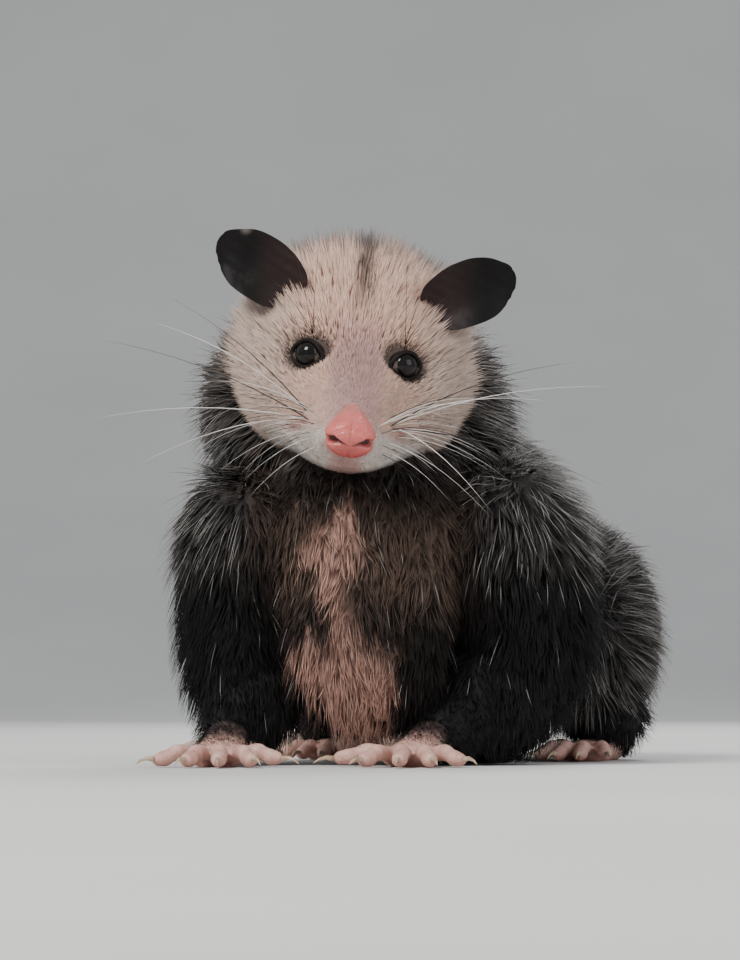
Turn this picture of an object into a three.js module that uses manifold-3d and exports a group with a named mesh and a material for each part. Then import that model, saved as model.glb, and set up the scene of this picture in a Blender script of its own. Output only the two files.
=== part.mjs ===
// A Virginia opossum, life-size and still: it crouches on all fours and looks up at the viewer.
// Millimetres. +Z is up, the animal faces -Y, and its left side is towards +X.
import * as THREE from "three";
import { mergeVertices } from "three/addons/utils/BufferGeometryUtils.js";
import Module from "manifold-3d";

const wasm = await Module();
wasm.setup();

// Driving sizes
const GAP = 0.3; // between neighbouring pieces
const EYE_SPACING = 37.4; // between the centres of the eyes
const EYE_RADIUS = 6.0;
const HEAD_AT = [-5.5, -20, 162.7]; // midway between the eyes
const HEAD_PITCH = 27; // degrees that the snout points down
const HEAD_ROLL = 6.7; // degrees that the head leans towards its left
const HEAD_TURN = 2.5;
const FLOOR_CLEARANCE = 1.6; // of the lowest fur above the floor
const CORE = 0.87; // of a furred form's half widths, under its locks
const TAIL_PIECES = 5;
const PELVIS_AT = [52, 162, 0];
const PELVIS_TURN = -17; // degrees that the hindquarters point towards the animal's right
const SEED = 20;

const UP = new THREE.Vector3(0, 0, 1);
const FRONT = new THREE.Vector3(0, -1, 0);
const SIDES = { left: 1, right: -1 };
const radians = THREE.MathUtils.degToRad;
const vector = (p) => new THREE.Vector3(p[0], p[1], p[2]);

const headPlace = new THREE.Matrix4()
  .makeRotationFromEuler(new THREE.Euler(radians(HEAD_PITCH), radians(HEAD_ROLL), radians(HEAD_TURN), "ZYX"))
  .setPosition(vector(HEAD_AT));
const pelvisPlace = new THREE.Matrix4()
  .makeRotationZ(radians(PELVIS_TURN))
  .setPosition(vector(PELVIS_AT));
const inPelvis = (p) => vector(p).applyMatrix4(pelvisPlace);
const pelvisWay = (p) => vector(p).transformDirection(pelvisPlace);
const inHead = (p) => vector(p).applyMatrix4(headPlace);
const headWay = (p) => vector(p).transformDirection(headPlace);

// Repeatable random numbers from 0 to 1
let randomState = SEED;
function random() {
  randomState = (randomState + 0x6d2b79f5) | 0;
  let t = Math.imul(randomState ^ (randomState >>> 15), 1 | randomState);
  t = (t + Math.imul(t ^ (t >>> 7), 61 | t)) ^ t;
  return ((t ^ (t >>> 14)) >>> 0) / 4294967296;
}
const vary = (share) => 1 + share * (2 * random() - 1);

// Closed geometry and solids
function solidOf(geometry) {
  const bare = geometry.clone();
  bare.deleteAttribute("normal");
  bare.deleteAttribute("uv");
  const merged = mergeVertices(bare, 1e-4);
  const corners = merged.index.array;
  const kept = [];
  for (let i = 0; i < corners.length; i += 3) {
    const [a, b, c] = [corners[i], corners[i + 1], corners[i + 2]];
    if (a !== b && b !== c && a !== c) kept.push(a, b, c);
  }
  return new wasm.Manifold(
    new wasm.Mesh({
      numProp: 3,
      vertProperties: merged.attributes.position.array,
      triVerts: new Uint32Array(kept),
    }),
  );
}

function geometryOf(solid) {
  const mesh = solid.getMesh();
  const positions = new Float32Array(mesh.numVert * 3);
  for (let i = 0; i < mesh.numVert; i++)
    positions.set(mesh.vertProperties.subarray(i * mesh.numProp, i * mesh.numProp + 3), i * 3);
  return new THREE.BufferGeometry()
    .setAttribute("position", new THREE.BufferAttribute(positions, 3))
    .setIndex(new THREE.BufferAttribute(mesh.triVerts, 1));
}

const join = (solids) => solids.reduce((all, one) => all.add(one));
const cut = (solid, tools) => tools.reduce((left, tool) => left.subtract(tool), solid);
const largest = (solid) =>
  solid.decompose().reduce((best, one) => (one.volume() > best.volume() ? one : best));

// A body lofted along a smooth line through its stations, from a sphere whose rows become sections.
// A station is [x, y, z, side, rise, drop, cup, jowl]: its centre, its half widths to the side, up and
// down, how far its edges curl up, and how much wider its lower half is. Angles run from the left side,
// 0, over the top, 90 degrees.
class Loft {
  constructor({ stations, around = 14, along = 12, up = UP, caps = [0.5, 0.5], place = null }) {
    this.centres = new THREE.CatmullRomCurve3(stations.map(vector));
    this.halves = new THREE.CatmullRomCurve3(
      stations.map((s) => new THREE.Vector3(s[3], s[4] ?? s[3], s[5] ?? s[4] ?? s[3])),
    );
    this.cups = new THREE.CatmullRomCurve3(
      stations.map((s) => new THREE.Vector3(s[6] ?? 0, s[7] ?? 0, 0)),
    );
    Object.assign(this, { stations, around, along, up, caps, place });
  }

  section(t) {
    const inside = Math.min(1, Math.max(0, t));
    const tangent = this.centres.getTangent(inside);
    const centre = this.centres.getPoint(inside);
    const step = 0.02;
    const speed = this.centres
      .getPoint(Math.min(1, inside + step))
      .distanceTo(this.centres.getPoint(Math.max(0, inside - step)));
    const span = Math.min(1, inside + step) - Math.max(0, inside - step);
    centre.addScaledVector(tangent, ((t - inside) * speed) / span);
    const rise = this.up.clone().addScaledVector(tangent, -this.up.dot(tangent)).normalize();
    return {
      centre,
      tangent,
      rise,
      side: tangent.clone().cross(rise),
      half: this.halves.getPoint(inside),
      cup: this.cups.getPoint(inside).x,
      jowl: this.cups.getPoint(inside).y,
    };
  }

  point(t, angle, grow = 0) {
    const { centre, rise, side, half, cup, jowl } = this.section(t);
    const [c, s] = [Math.cos(angle), Math.sin(angle)];
    const height = (s > 0 ? half.y : half.z) + grow;
    const lowness = THREE.MathUtils.smoothstep(-s, -0.5, 0.5);
    const across = c * (half.x + grow + jowl * lowness);
    const p = centre
      .clone()
      .addScaledVector(side, across)
      .addScaledVector(rise, s * height + cup * (across / half.x) ** 2);
    return this.place ? p.applyMatrix4(this.place) : p;
  }

  // The surface's point, its outward normal and its two tangents, along and around
  skin(t, angle) {
    const step = 0.01;
    const alongIt = this.point(t + step, angle).sub(this.point(t - step, angle)).divideScalar(2 * step);
    const aroundIt = this.point(t, angle + step).sub(this.point(t, angle - step)).divideScalar(2 * step);
    return {
      at: this.point(t, angle),
      normal: alongIt.clone().cross(aroundIt).normalize(),
      alongIt,
      aroundIt,
    };
  }

  // Goes a distance over the surface in a direction, and gives the new place on it
  walk(t, angle, way, distance) {
    const { alongIt, aroundIt } = this.skin(t, angle);
    const [aa, ab, bb] = [alongIt.dot(alongIt), alongIt.dot(aroundIt), aroundIt.dot(aroundIt)];
    const [wa, wb] = [way.dot(alongIt) * distance, way.dot(aroundIt) * distance];
    const det = Math.max(aa * bb - ab * ab, 1e-6);
    return [t + (wa * bb - wb * ab) / det, angle + (wb * aa - wa * ab) / det];
  }

  solid(grow = 0, from = 0, to = 1) {
    const { around, along } = this;
    const geometry = new THREE.SphereGeometry(1, around, along);
    const spots = geometry.attributes.position;
    for (let i = 0; i < spots.count; i++) {
      const row = Math.floor(i / (around + 1));
      const angle = ((i % (around + 1)) % around) * ((2 * Math.PI) / around);
      let p;
      if (row === 0 || row === along) {
        const { centre, tangent, half } = this.section(row === 0 ? from : to);
        const cap = this.caps[row === 0 ? 0 : 1];
        const reach = cap * Math.min(half.x, half.y) + grow;
        p = centre.addScaledVector(tangent, row === 0 ? -reach : reach);
        if (this.place) p.applyMatrix4(this.place);
      } else p = this.point(from + ((to - from) * (row - 1)) / (along - 2), angle, grow);
      spots.setXYZ(i, p.x, p.y, p.z);
    }
    return solidOf(geometry);
  }
}

// The same loft with its half widths scaled, as the core under a coat
const core = (loft, share = CORE) =>
  new Loft({
    ...loft,
    stations: loft.stations.map(([x, y, z, side, rise = side, drop = rise, ...rest]) => [
      x,
      y,
      z,
      side * share,
      rise * share,
      drop * share,
      ...rest,
    ]),
  });

// A cone bent along a path: path(s) gives its centre, side, normal, and half width and thickness at s
function bentCone(path, sides, steps, grow = 0) {
  const geometry = new THREE.ConeGeometry(1, 1, sides, steps);
  const spots = geometry.attributes.position;
  for (let i = 0; i < spots.count; i++) {
    const s = spots.getY(i) + 0.5;
    const r = Math.max(1 - s, 1e-9);
    const onAxis = Math.hypot(spots.getX(i), spots.getZ(i)) < 1e-6;
    const { centre, side, normal, width, thick } = path(s);
    const p = centre.clone();
    if (!onAxis) {
      p.addScaledVector(side, (spots.getX(i) / r) * (width + grow));
      p.addScaledVector(normal, (spots.getZ(i) / r) * (thick + grow));
    }
    spots.setXYZ(i, p.x, p.y, p.z);
  }
  return solidOf(geometry);
}

// A cone along a smooth line through points, for whiskers and claws
function taper({ points, radius, side = UP, sides = 3, steps = 5, power = 1 }, grow = 0) {
  const line = new THREE.CatmullRomCurve3(points);
  return bentCone(
    (s) => {
      const tangent = line.getTangent(s);
      const normal = side.clone().cross(tangent).normalize();
      const r = radius * (1 - s) ** power + 0.12;
      const centre = line.getPoint(s).addScaledVector(tangent, s > 0.99 ? grow : 0);
      return { centre, side: normal.clone().cross(tangent).negate(), normal, width: r, thick: r };
    },
    sides,
    steps,
    grow,
  );
}

// A flat lock of hair: its root is sunk in the loft, and it bends over the surface and lifts to its tip
const LOCK_STEPS = 3;
const LOCK_HEIGHTS = [0, 0.3, 0.72, 1];
const LOCK_WIDTHS = [0.85, 1, 0.7, 0];
const LOCK_THICKNESS = [1, 1, 0.7, 0];
function lock(loft, t, angle, way, { length, width, lift, sink, thick }) {
  const places = [];
  let spot = [t, angle];
  for (let i = 0; i <= LOCK_STEPS; i++) {
    const place = loft.skin(...spot);
    const heading = way.clone().projectOnPlane(place.normal).normalize();
    places.push({ ...place, heading });
    spot = loft.walk(...spot, heading, length / LOCK_STEPS);
  }
  return bentCone(
    (s) => {
      const i = Math.round(s * LOCK_STEPS);
      const { at, normal, heading } = places[i];
      return {
        centre: at.clone().addScaledVector(normal, LOCK_HEIGHTS[i] * (lift + sink) - sink),
        side: heading.clone().cross(normal),
        normal,
        width: (LOCK_WIDTHS[i] * width) / 2,
        thick: (LOCK_THICKNESS[i] * thick) / 2,
      };
    },
    4,
    LOCK_STEPS,
  );
}

// Rows of locks round a loft: where each row starts along it, and its angles in degrees
function rowsOfLocks(loft, rows, angles, way, size) {
  const locks = [];
  rows.forEach((t, row) => {
    const { half } = loft.section(t);
    const span = radians(angles[1] - angles[0]);
    const count = Math.max(1, Math.round((span * (half.x + half.y)) / 2 / size.spacing));
    for (let i = 0; i < count; i++) {
      const share = (i + 0.5 + (row % 2 ? 0.25 : -0.25) + 0.2 * (random() - 0.5)) / count;
      const bend = new THREE.Vector3(random() - 0.5, random() - 0.5, 0).multiplyScalar(0.45);
      locks.push(
        lock(loft, t + 0.02 * (random() - 0.5), radians(angles[0]) + span * share, bend.add(way), {
          ...size,
          length: size.length * vary(0.14),
          width: size.width * vary(0.12),
          lift: size.lift * vary(0.2),
        }),
      );
    }
  });
  return locks;
}

// Planes that part the body: a point, and the way to the piece named first
const PARTINGS = {
  head_neck: { at: [0, 22, 165], way: [0, -0.97, 0.25] },
  neck_chest: { at: [4, 48, 135], way: [0, -0.35, 0.94] },
  chest_belly: { at: [12, 78, 90], way: [0.2, -0.98, 0] },
  belly_rump: { at: [32, 142, 75], way: [0.28, -0.96, 0] },
  arm_left: { at: [52, 0, 120], way: [0.881, -0.329, -0.337] },
  arm_right: { at: [-50, 0, 120], way: [-0.928, -0.347, -0.135] },
  elbow_left: { at: [60, 20, 56], way: [0, 0.25, 0.97] },
  elbow_right: { at: [-58, 20, 56], way: [0, 0.25, 0.97] },
  wrist_left: { at: [24, -10, 13], way: [0.3, 0.55, 0.78] },
  wrist_right: { at: [-57, -10, 13], way: [-0.1, 0.6, 0.79] },
};
const LEG_PARTING = { at: [38, 6, 62], way: [0.93, 0.08, -0.36] };
const KNEE_PARTING = { at: [60, -30, 22], way: [0, 0.1, 0.99] };
const ANKLE_PARTING = { at: [60, -14, 13], way: [0, 0.55, 0.83] };
const WORLD = 900;

// What lies on the side of a plane that its way points to, or on the other side with turn -1
function keepSide(solid, { at, way }, turn = 1) {
  const normal = vector(way).normalize().multiplyScalar(turn);
  const box = new THREE.BoxGeometry(WORLD, WORLD, WORLD);
  box.applyQuaternion(new THREE.Quaternion().setFromUnitVectors(UP, normal));
  const middle = vector(at).addScaledVector(normal, GAP / 2 - WORLD / 2);
  box.translate(middle.x, middle.y, middle.z);
  return solid.subtract(solidOf(box));
}
const onFloor = (solid, height = 0) =>
  keepSide(solid, { at: [0, 0, height - GAP / 2], way: [0, 0, 1] });
const placed = ({ at, way }, side) => ({
  at: inPelvis([side * at[0], at[1], at[2]]).toArray(),
  way: pelvisWay([side * way[0], way[1], way[2]]).toArray(),
});

// The forms of the body, out to the tips of the coat
const skull = new Loft({
  stations: [
    [0, -44, -16, 11, 8, 12, 0, 3],
    [0, -36, -15.5, 13.8, 10.5, 18, 0, 6],
    [0, -25, -15, 17.5, 13.2, 24, 0, 10],
    [0, -13, -14.2, 22.5, 15.5, 29, 0, 13],
    [0, -3, -13.6, 33, 18.5, 33, 0, 11],
    [0, 9, -13, 41, 25.5, 32, 0, 8],
    [0, 24, -10, 46, 36, 35, 0, 7],
    [0, 40, -7, 46, 41, 35, 0, 4],
    [0, 56, -5, 41, 36, 30],
  ],
  around: 20,
  along: 14,
  caps: [0.45, 0.4],
  place: headPlace,
});
const neckForm = new Loft({
  stations: [
    [-8, -2, 157, 49, 48, 42],
    [-8, 20, 150, 65, 55, 48],
    [-3, 52, 136, 70, 50, 48],
    [8, 82, 122, 62, 42, 40],
  ],
  around: 18,
  along: 9,
});
const trunk = new Loft({
  stations: [
    [-2, -4, 84, 36, 44, 62],
    [-1, 14, 90, 56, 52, 76],
    [5, 40, 94, 67, 60, 84],
    [16, 78, 94, 73, 66, 84],
    [30, 120, 86, 73, 67, 78],
    [44, 160, 76, 67, 64, 70],
    [56, 198, 64, 54, 53, 57],
    [65, 222, 53, 38, 37, 42],
    [70, 237, 44, 20, 20, 23],
  ],
  around: 18,
  along: 13,
  caps: [0.5, 0.5],
});
const breast = new Loft({
  stations: [
    [-3, -2, 126, 40, 16, 20],
    [-3, -11, 102, 43, 18, 24],
    [-2, -12, 72, 40, 19, 24],
    [-1, -5, 42, 36, 18, 20],
    [0, 4, 22, 30, 14, 14],
  ],
  around: 12,
  along: 7,
  up: FRONT,
});
const ARMS = {
  left: {
    upper: [
      [47, 8, 113, 26, 29],
      [55, 13, 92, 34, 37],
      [61, 18, 72, 33, 37],
      [64, 22, 50, 31, 34],
      [62, 22, 36, 28, 30],
    ],
    fore: [
      [65, 24, 60, 28, 31],
      [60, 22, 40, 31, 31],
      [48, 12, 26, 30, 25],
      [33, 0, 15, 17, 14],
      [24, -9, 9, 9.5, 7.5],
    ],
    palm: [
      [25, -6, 13, 8.5, 6.5],
      [20, -15, 7, 10, 6.5],
      [17, -24, 4.6, 11.5, 5.5],
      [15, -32, 3.6, 11, 4.4],
    ],
    fingers: [
      { from: [11, -23, 4], to: [-13, -29, 3.6] },
      { from: [9, -31, 4], to: [-3, -51, 3] },
      { from: [14, -33, 4], to: [11, -58, 3] },
      { from: [19, -32, 4], to: [24, -56, 3] },
      { from: [23, -28, 4], to: [36, -46, 3] },
    ],
  },
  right: {
    upper: [
      [-46, 8, 113, 25, 28],
      [-50, 12, 92, 31, 35],
      [-52, 16, 72, 29, 34],
      [-53, 20, 50, 27, 32],
      [-52, 20, 36, 25, 28],
    ],
    fore: [
      [-53, 22, 60, 25, 29],
      [-51, 20, 40, 27, 29],
      [-50, 11, 26, 26, 24],
      [-56, 0, 15, 16, 13],
      [-58, -9, 9, 9.5, 7.5],
    ],
    palm: [
      [-57, -6, 13, 8.5, 6.5],
      [-59, -15, 7, 10, 6.5],
      [-60, -24, 4.6, 11.5, 5.5],
      [-61, -32, 3.6, 11, 4.4],
    ],
    fingers: [
      { from: [-53, -24, 4], to: [-36, -36, 3.6] },
      { from: [-54, -32, 4], to: [-46, -53, 3] },
      { from: [-59, -34, 4], to: [-59, -59, 3] },
      { from: [-64, -33, 4], to: [-72, -54, 3] },
      { from: [-68, -29, 4], to: [-84, -42, 3] },
    ],
  },
};
const FINGER_RADIUS = 3.4;
const armForm = (stations) => new Loft({ stations, around: 12, along: 7, up: FRONT });

// The hind legs, in the frame of the pelvis, with the animal's left side towards +X
const THIGH = [
  [30, 16, 72, 34, 42],
  [42, 0, 62, 36, 47],
  [53, -22, 51, 32, 42],
  [59, -42, 41, 26, 32],
  [61, -53, 35, 18, 23],
];
const SHANK = [
  [63, -48, 26, 19, 17],
  [62, -36, 22, 21, 18],
  [60, -20, 18, 20, 16],
  [59, -4, 13, 14, 11],
];
const SOLE = [
  [60, -6, 9, 7, 7],
  [60, -18, 6.6, 8.5, 7.5],
  [59, -36, 5.1, 9.5, 6],
  [58, -50, 4.1, 10.5, 5],
  [57.5, -57, 3.6, 10, 4.5],
];
const TOES = [
  { from: [52, -36, 4], to: [38, -50, 3.8] },
  { from: [51, -55, 4], to: [43, -73, 3.2] },
  { from: [55, -57, 4], to: [52, -78, 3.2] },
  { from: [60, -57, 4], to: [62, -78, 3.2] },
  { from: [64, -54, 4], to: [72, -71, 3.2] },
];
const mirrored = (stations, side) => stations.map(([x, ...rest]) => [side * x, ...rest]);
const legForm = (stations, side) =>
  new Loft({ stations: mirrored(stations, side), around: 12, along: 7, place: pelvisPlace });

// The tail lies round behind the body: round, tapering, with its lengths parted square to it
const TAIL_LINE = [
  [55, 206, 46],
  [64, 236, 28],
  [66, 262, 13],
  [50, 288, 8.6],
  [18, 302, 7.2],
  [-20, 300, 6],
  [-54, 284, 4.8],
  [-78, 256, 3.8],
  [-88, 224, 2.4],
];
const TAIL_RADII = [15, 12.5, 10.5, 9, 7.6, 6.4, 5.2, 4.2, 2.6];
const tail = new Loft({
  stations: TAIL_LINE.map((p, i) => [...p, TAIL_RADII[i]]),
  around: 16,
  along: 40,
  caps: [0.5, 0.9],
});
const TAIL_JOINS = [0.2, 0.38, 0.56, 0.75];

// Eyes, ears, nose
const eyeAt = (side) => inHead([(side * EYE_SPACING) / 2, 0, 0]);
const eyeWay = (side) => headWay([side * 0.5, -0.78, 0.38]).normalize();
const ball = (centre, radius, around = 12, along = 8) => {
  const geometry = new THREE.SphereGeometry(radius, around, along);
  geometry.translate(centre.x, centre.y, centre.z);
  return solidOf(geometry);
};
const earForm = (side) =>
  new Loft({
    stations: [
      [side * 29, 25, 15, 7.5, 1.6, 1.6, 5],
      [side * 33.5, 25, 19.5, 11.5, 1.1, 1.1, 7],
      [side * 41, 26, 24.5, 13.2, 0.8, 0.8, 6],
      [side * 49, 28, 27.5, 12.4, 0.7, 0.7, 4],
      [side * 55.5, 30.5, 28.8, 9, 0.6, 0.6, 1.8],
      [side * 60, 33, 28.6, 4.6, 0.5, 0.5, 0.6],
    ],
    around: 12,
    along: 9,
    up: new THREE.Vector3(-side * 0.05, -1, 0.25).normalize(),
    caps: [0.8, 0.8],
    place: headPlace,
  });
const noseForm = new Loft({
  stations: [
    [0, -35.5, -5.6, 2.2, 1.6, 3],
    [0, -39.5, -7.0, 4.4, 3.0, 6],
    [0, -43.5, -10.2, 7.6, 5.4, 9],
    [0, -47.5, -12.6, 9.2, 7.4, 8.6],
    [0, -51.5, -13.6, 8.8, 7.2, 7.8],
    [0, -54, -14.0, 6.2, 5.2, 5.6],
  ],
  around: 14,
  along: 9,
  caps: [0.6, 0.35],
  place: headPlace,
});
const nostril = (side) =>
  new Loft({
    stations: [
      [side * 11, -47, -15, 1.2, 0.9],
      [side * 8.6, -50.5, -13.6, 1.5, 1.1],
      [side * 5.4, -53.6, -12.4, 1.9, 1.4],
      [side * 4.2, -57, -12, 2.0, 1.6],
    ],
    around: 6,
    along: 5,
    place: headPlace,
  });
// The mouth runs over the muzzle's surface: how far back, and how far below the side in degrees
const MOUTH_LINE = [
  [0.34, 4],
  [0.25, 14],
  [0.16, 24],
  [0.08, 38],
  [0.02, 62],
];
const mouthBand = (lower, half, thick) => {
  const left = MOUTH_LINE.map(([t, below]) => skull.point(t, radians(-below - lower)));
  const right = MOUTH_LINE.map(([t, below]) => skull.point(t, radians(180 + below + lower)));
  const stations = [...left, ...right.reverse()].map((p) => [...p.toArray(), half, thick]);
  return new Loft({ stations, around: 4, along: 11, up: headWay([0, 0, 1]) });
};

// A digit from its knuckle to its tip, arched a little, flat where it lies on the floor
function digit({ from, to }, radius, turned = (p) => p) {
  const [a, b] = [vector(from), vector(to)];
  const middle = a.clone().lerp(b, 0.5).setZ(radius * 1.7);
  const stations = [a, middle, a.clone().lerp(b, 0.8).setZ(radius * 1.15), b].map((p, i) => [
    ...turned(p.toArray()),
    radius * [1.05, 0.95, 0.9, 0.72][i],
  ]);
  return new Loft({ stations, around: 6, along: 5, caps: [0.6, 0.9] });
}
function claw({ from, to }, radius, turned = (p) => p) {
  const [a, b] = [vector(from), vector(to)];
  const way = b.clone().sub(a).setZ(0).normalize();
  const points = [0, 3, 6, 8.4].map((reach, i) => {
    const p = b.clone().addScaledVector(way, radius * 0.75 + reach);
    p.z = [3.4, 3.7, 2.9, 1.2][i];
    return vector(turned(p.toArray()));
  });
  return taper({ points, radius: 1.15, side: UP, sides: 6, steps: 3, power: 0.8 });
}

// The longest whiskers: where each tip is seen from the front, from the middle between the eyes
const WHISKER_TIPS = {
  left: [
    [90, -4, -1],
    [106, -2, -11],
    [80, -10, -18],
    [102, -12, -53],
    [54, -34, -64],
  ],
  right: [
    [-104, -4, 8],
    [-108, -8, -25],
    [-90, -16, -45],
    [-78, 2, 27],
    [-85, -2, 16],
  ],
};
const WHISKER_RADIUS = 0.42;

// Colours and finishes
const MATERIALS = {
  face: { color: 0xd9c2b2, roughness: 0.95, metalness: 0 },
  coat: { color: 0x4a4644, roughness: 0.95, metalness: 0 },
  black_fur: { color: 0x1d1b1c, roughness: 0.9, metalness: 0 },
  chest_fur: { color: 0x7d6355, roughness: 0.95, metalness: 0 },
  bare_skin: { color: 0xd98f80, roughness: 0.6, metalness: 0 },
  nose_skin: { color: 0xd4605a, roughness: 0.4, metalness: 0 },
  ear_skin: { color: 0x141214, roughness: 0.5, metalness: 0 },
  tail_black: { color: 0x2b2524, roughness: 0.75, metalness: 0 },
  tail_pale: { color: 0xcdb0a2, roughness: 0.75, metalness: 0 },
  eye: { color: 0x050505, roughness: 0.05, metalness: 0 },
  claw: { color: 0xd8c3a5, roughness: 0.45, metalness: 0 },
  whisker: { color: 0xe8e2da, roughness: 0.5, metalness: 0 },
};
const materials = {};
for (const [name, look] of Object.entries(MATERIALS)) {
  materials[name] = new THREE.MeshStandardMaterial({ name, ...look });
}

// A piece is cut by the planes of its cell: 1 keeps the side that a plane's way points to, -1 the other
const withinCell = (solid, cell) =>
  Object.entries(cell).reduce(
    (left, [name, turn]) => keepSide(left, { ...PARTINGS[name], ...LEG_PLANES[name] }, turn),
    solid,
  );
const LEG_PLANES = {};
for (const [name, side] of Object.entries(SIDES)) {
  LEG_PLANES[`leg_${name}`] = placed(LEG_PARTING, side);
  LEG_PLANES[`knee_${name}`] = placed(KNEE_PARTING, side);
  LEG_PLANES[`ankle_${name}`] = placed(ANKLE_PARTING, side);
}

const eyeOpening = (side) => {
  const centre = eyeAt(side);
  const way = eyeWay(side);
  const stations = [0, 5, 10, 16].map((reach) => [
    ...centre.clone().addScaledVector(way, reach).toArray(),
    5.3 + reach * 0.04,
    4.7 + reach * 0.06,
  ]);
  return new Loft({ stations, around: 12, along: 5, up: headWay([0, 0.4, 1]), caps: [0, 0] });
};

// Sizes of the locks, and the rows in which they grow: [form, rows, angles, lie]
const LONG_LOCK = { length: 46, width: 28, lift: 8, sink: 4, thick: 3.6, spacing: 30 };
const LIMB_LOCK = { length: 36, width: 24, lift: 4.6, sink: 3, thick: 3.2, spacing: 27 };
const CHEEK_LOCK = { length: 25, width: 18, lift: 5, sink: 3, thick: 2.6, spacing: 21 };
const BACKWARD = new THREE.Vector3(0.28, 0.9, -0.3);
const DOWNWARD = new THREE.Vector3(0, 0.05, -1);
const FLANK = new THREE.Vector3(0.15, 0.65, -0.75);
const HAUNCH = new THREE.Vector3(0.1, 0.6, -0.8);
const trunkCore = core(trunk);
const breastCore = core(breast);
const neckCore = core(neckForm);
const COATS = {
  neck: () => rowsOfLocks(neckCore, [0.26, 0.5, 0.74], [-15, 195], BACKWARD, LONG_LOCK),
  chest: () => [
    ...rowsOfLocks(breastCore, [0.1, 0.36, 0.62, 0.86], [18, 162], DOWNWARD, LIMB_LOCK),
    ...rowsOfLocks(trunkCore, [0.18, 0.29], [-35, 35], FLANK, LONG_LOCK),
    ...rowsOfLocks(trunkCore, [0.18, 0.29], [145, 215], FLANK, LONG_LOCK),
  ],
  belly: () => rowsOfLocks(trunkCore, [0.395, 0.49], [-38, 218], FLANK, LONG_LOCK),
  rump: () => rowsOfLocks(trunkCore, [0.59, 0.7, 0.83], [-35, 215], BACKWARD, LONG_LOCK),
  head: () => [
    ...rowsOfLocks(skull, [0.62, 0.76], [-62, 22], headWay([0.7, 0.7, -0.3]), CHEEK_LOCK),
    ...rowsOfLocks(skull, [0.62, 0.76], [158, 242], headWay([-0.7, 0.7, -0.3]), CHEEK_LOCK),
  ],
};
const outerAngles = (name, from, to) => (name === "left" ? [180 - to, 180 - from] : [from, to]);
const limbLocks = (form, name, rows, from, to, way) =>
  rowsOfLocks(form, rows, outerAngles(name, from, to), way, LIMB_LOCK);

function head() {
  const lids = Object.values(SIDES).map((side) => ball(eyeAt(side), EYE_RADIUS + 1.5));
  const lips = [mouthBand(-4, 1.6, 1.3).solid(), mouthBand(5, 1.5, 1.4).solid()];
  const furred = withinCell(join([skull.solid(), ...COATS.head()]), { head_neck: 1 });
  const whole = join([furred, ...lids, ...lips]);
  const sockets = Object.values(SIDES).flatMap((side) => [
    ball(eyeAt(side), EYE_RADIUS + GAP),
    eyeOpening(side).solid(),
    earForm(side).solid(2 * GAP),
    whiskerPad(side).solid(2 * GAP),
  ]);
  const hairs = Object.keys(SIDES).flatMap((name) => whiskerHairs(name, 2 * GAP));
  return cut(whole, [...sockets, ...hairs, noseForm.solid(GAP), mouthBand(0, 2.6, 0.4).solid()]);
}

const nose = () => cut(noseForm.solid(), [nostril(1).solid(), nostril(-1).solid()]);

const whiskerPad = (side) =>
  new Loft({
    stations: [
      [side * 8.5, -39, -17, 3.4, 3.6],
      [side * 11.5, -34.5, -17, 5.4, 5],
      [side * 14.5, -28.5, -16.8, 5.2, 4.8],
      [side * 17, -23, -16.4, 3.2, 3.2],
    ],
    around: 12,
    along: 8,
    place: headPlace,
  });

const whiskerHairs = (name, grow = 0) =>
  WHISKER_TIPS[name].map((tip, i) => {
    const side = SIDES[name];
    const root = inHead([side * (11.5 + 0.9 * i), -36.5 + 2 * i, -16 + 1.2 * (i % 3)]);
    const end = vector(HEAD_AT).add(vector(tip));
    const middle = root.clone().lerp(end, 0.45).add(new THREE.Vector3(0, -9, 5));
    return taper({ points: [root, middle, end], radius: WHISKER_RADIUS, steps: 5 }, grow);
  });
const whiskers = (name) =>
  join([whiskerPad(SIDES[name]).solid().subtract(noseForm.solid(GAP)), ...whiskerHairs(name)]);

const palmForm = (name) => new Loft({ stations: ARMS[name].palm, around: 12, along: 7, up: UP });

function hand(name) {
  const { fingers } = ARMS[name];
  const whole = join([palmForm(name).solid(), ...fingers.map((finger) => digit(finger, FINGER_RADIUS).solid())]);
  return onFloor(withinCell(whole, { [`wrist_${name}`]: -1 }));
}

const mirroredDigit = ({ from, to }, side) => ({
  from: [side * from[0], from[1], from[2]],
  to: [side * to[0], to[1], to[2]],
});
const turnedWithPelvis = (p) => inPelvis(p).toArray();

function foot(name) {
  const side = SIDES[name];
  const sole = new Loft({
    stations: mirrored(SOLE, side),
    around: 12,
    along: 9,
    place: pelvisPlace,
  });
  const toes = TOES.map((toe) => digit(mirroredDigit(toe, side), FINGER_RADIUS, turnedWithPelvis).solid());
  return onFloor(withinCell(join([sole.solid(), ...toes]), { [`ankle_${name}`]: -1 }));
}

// The whole animal, piece by piece
const animal = new THREE.Group();
function add(name, solid, material) {
  const mesh = new THREE.Mesh(geometryOf(largest(solid)), materials[material]);
  mesh.name = name;
  animal.add(mesh);
}

add("head", head(), "face");
add("nose", nose(), "nose_skin");
const furred = (forms, locks) => join([...forms.map((form) => form.solid()), ...locks]);

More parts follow.
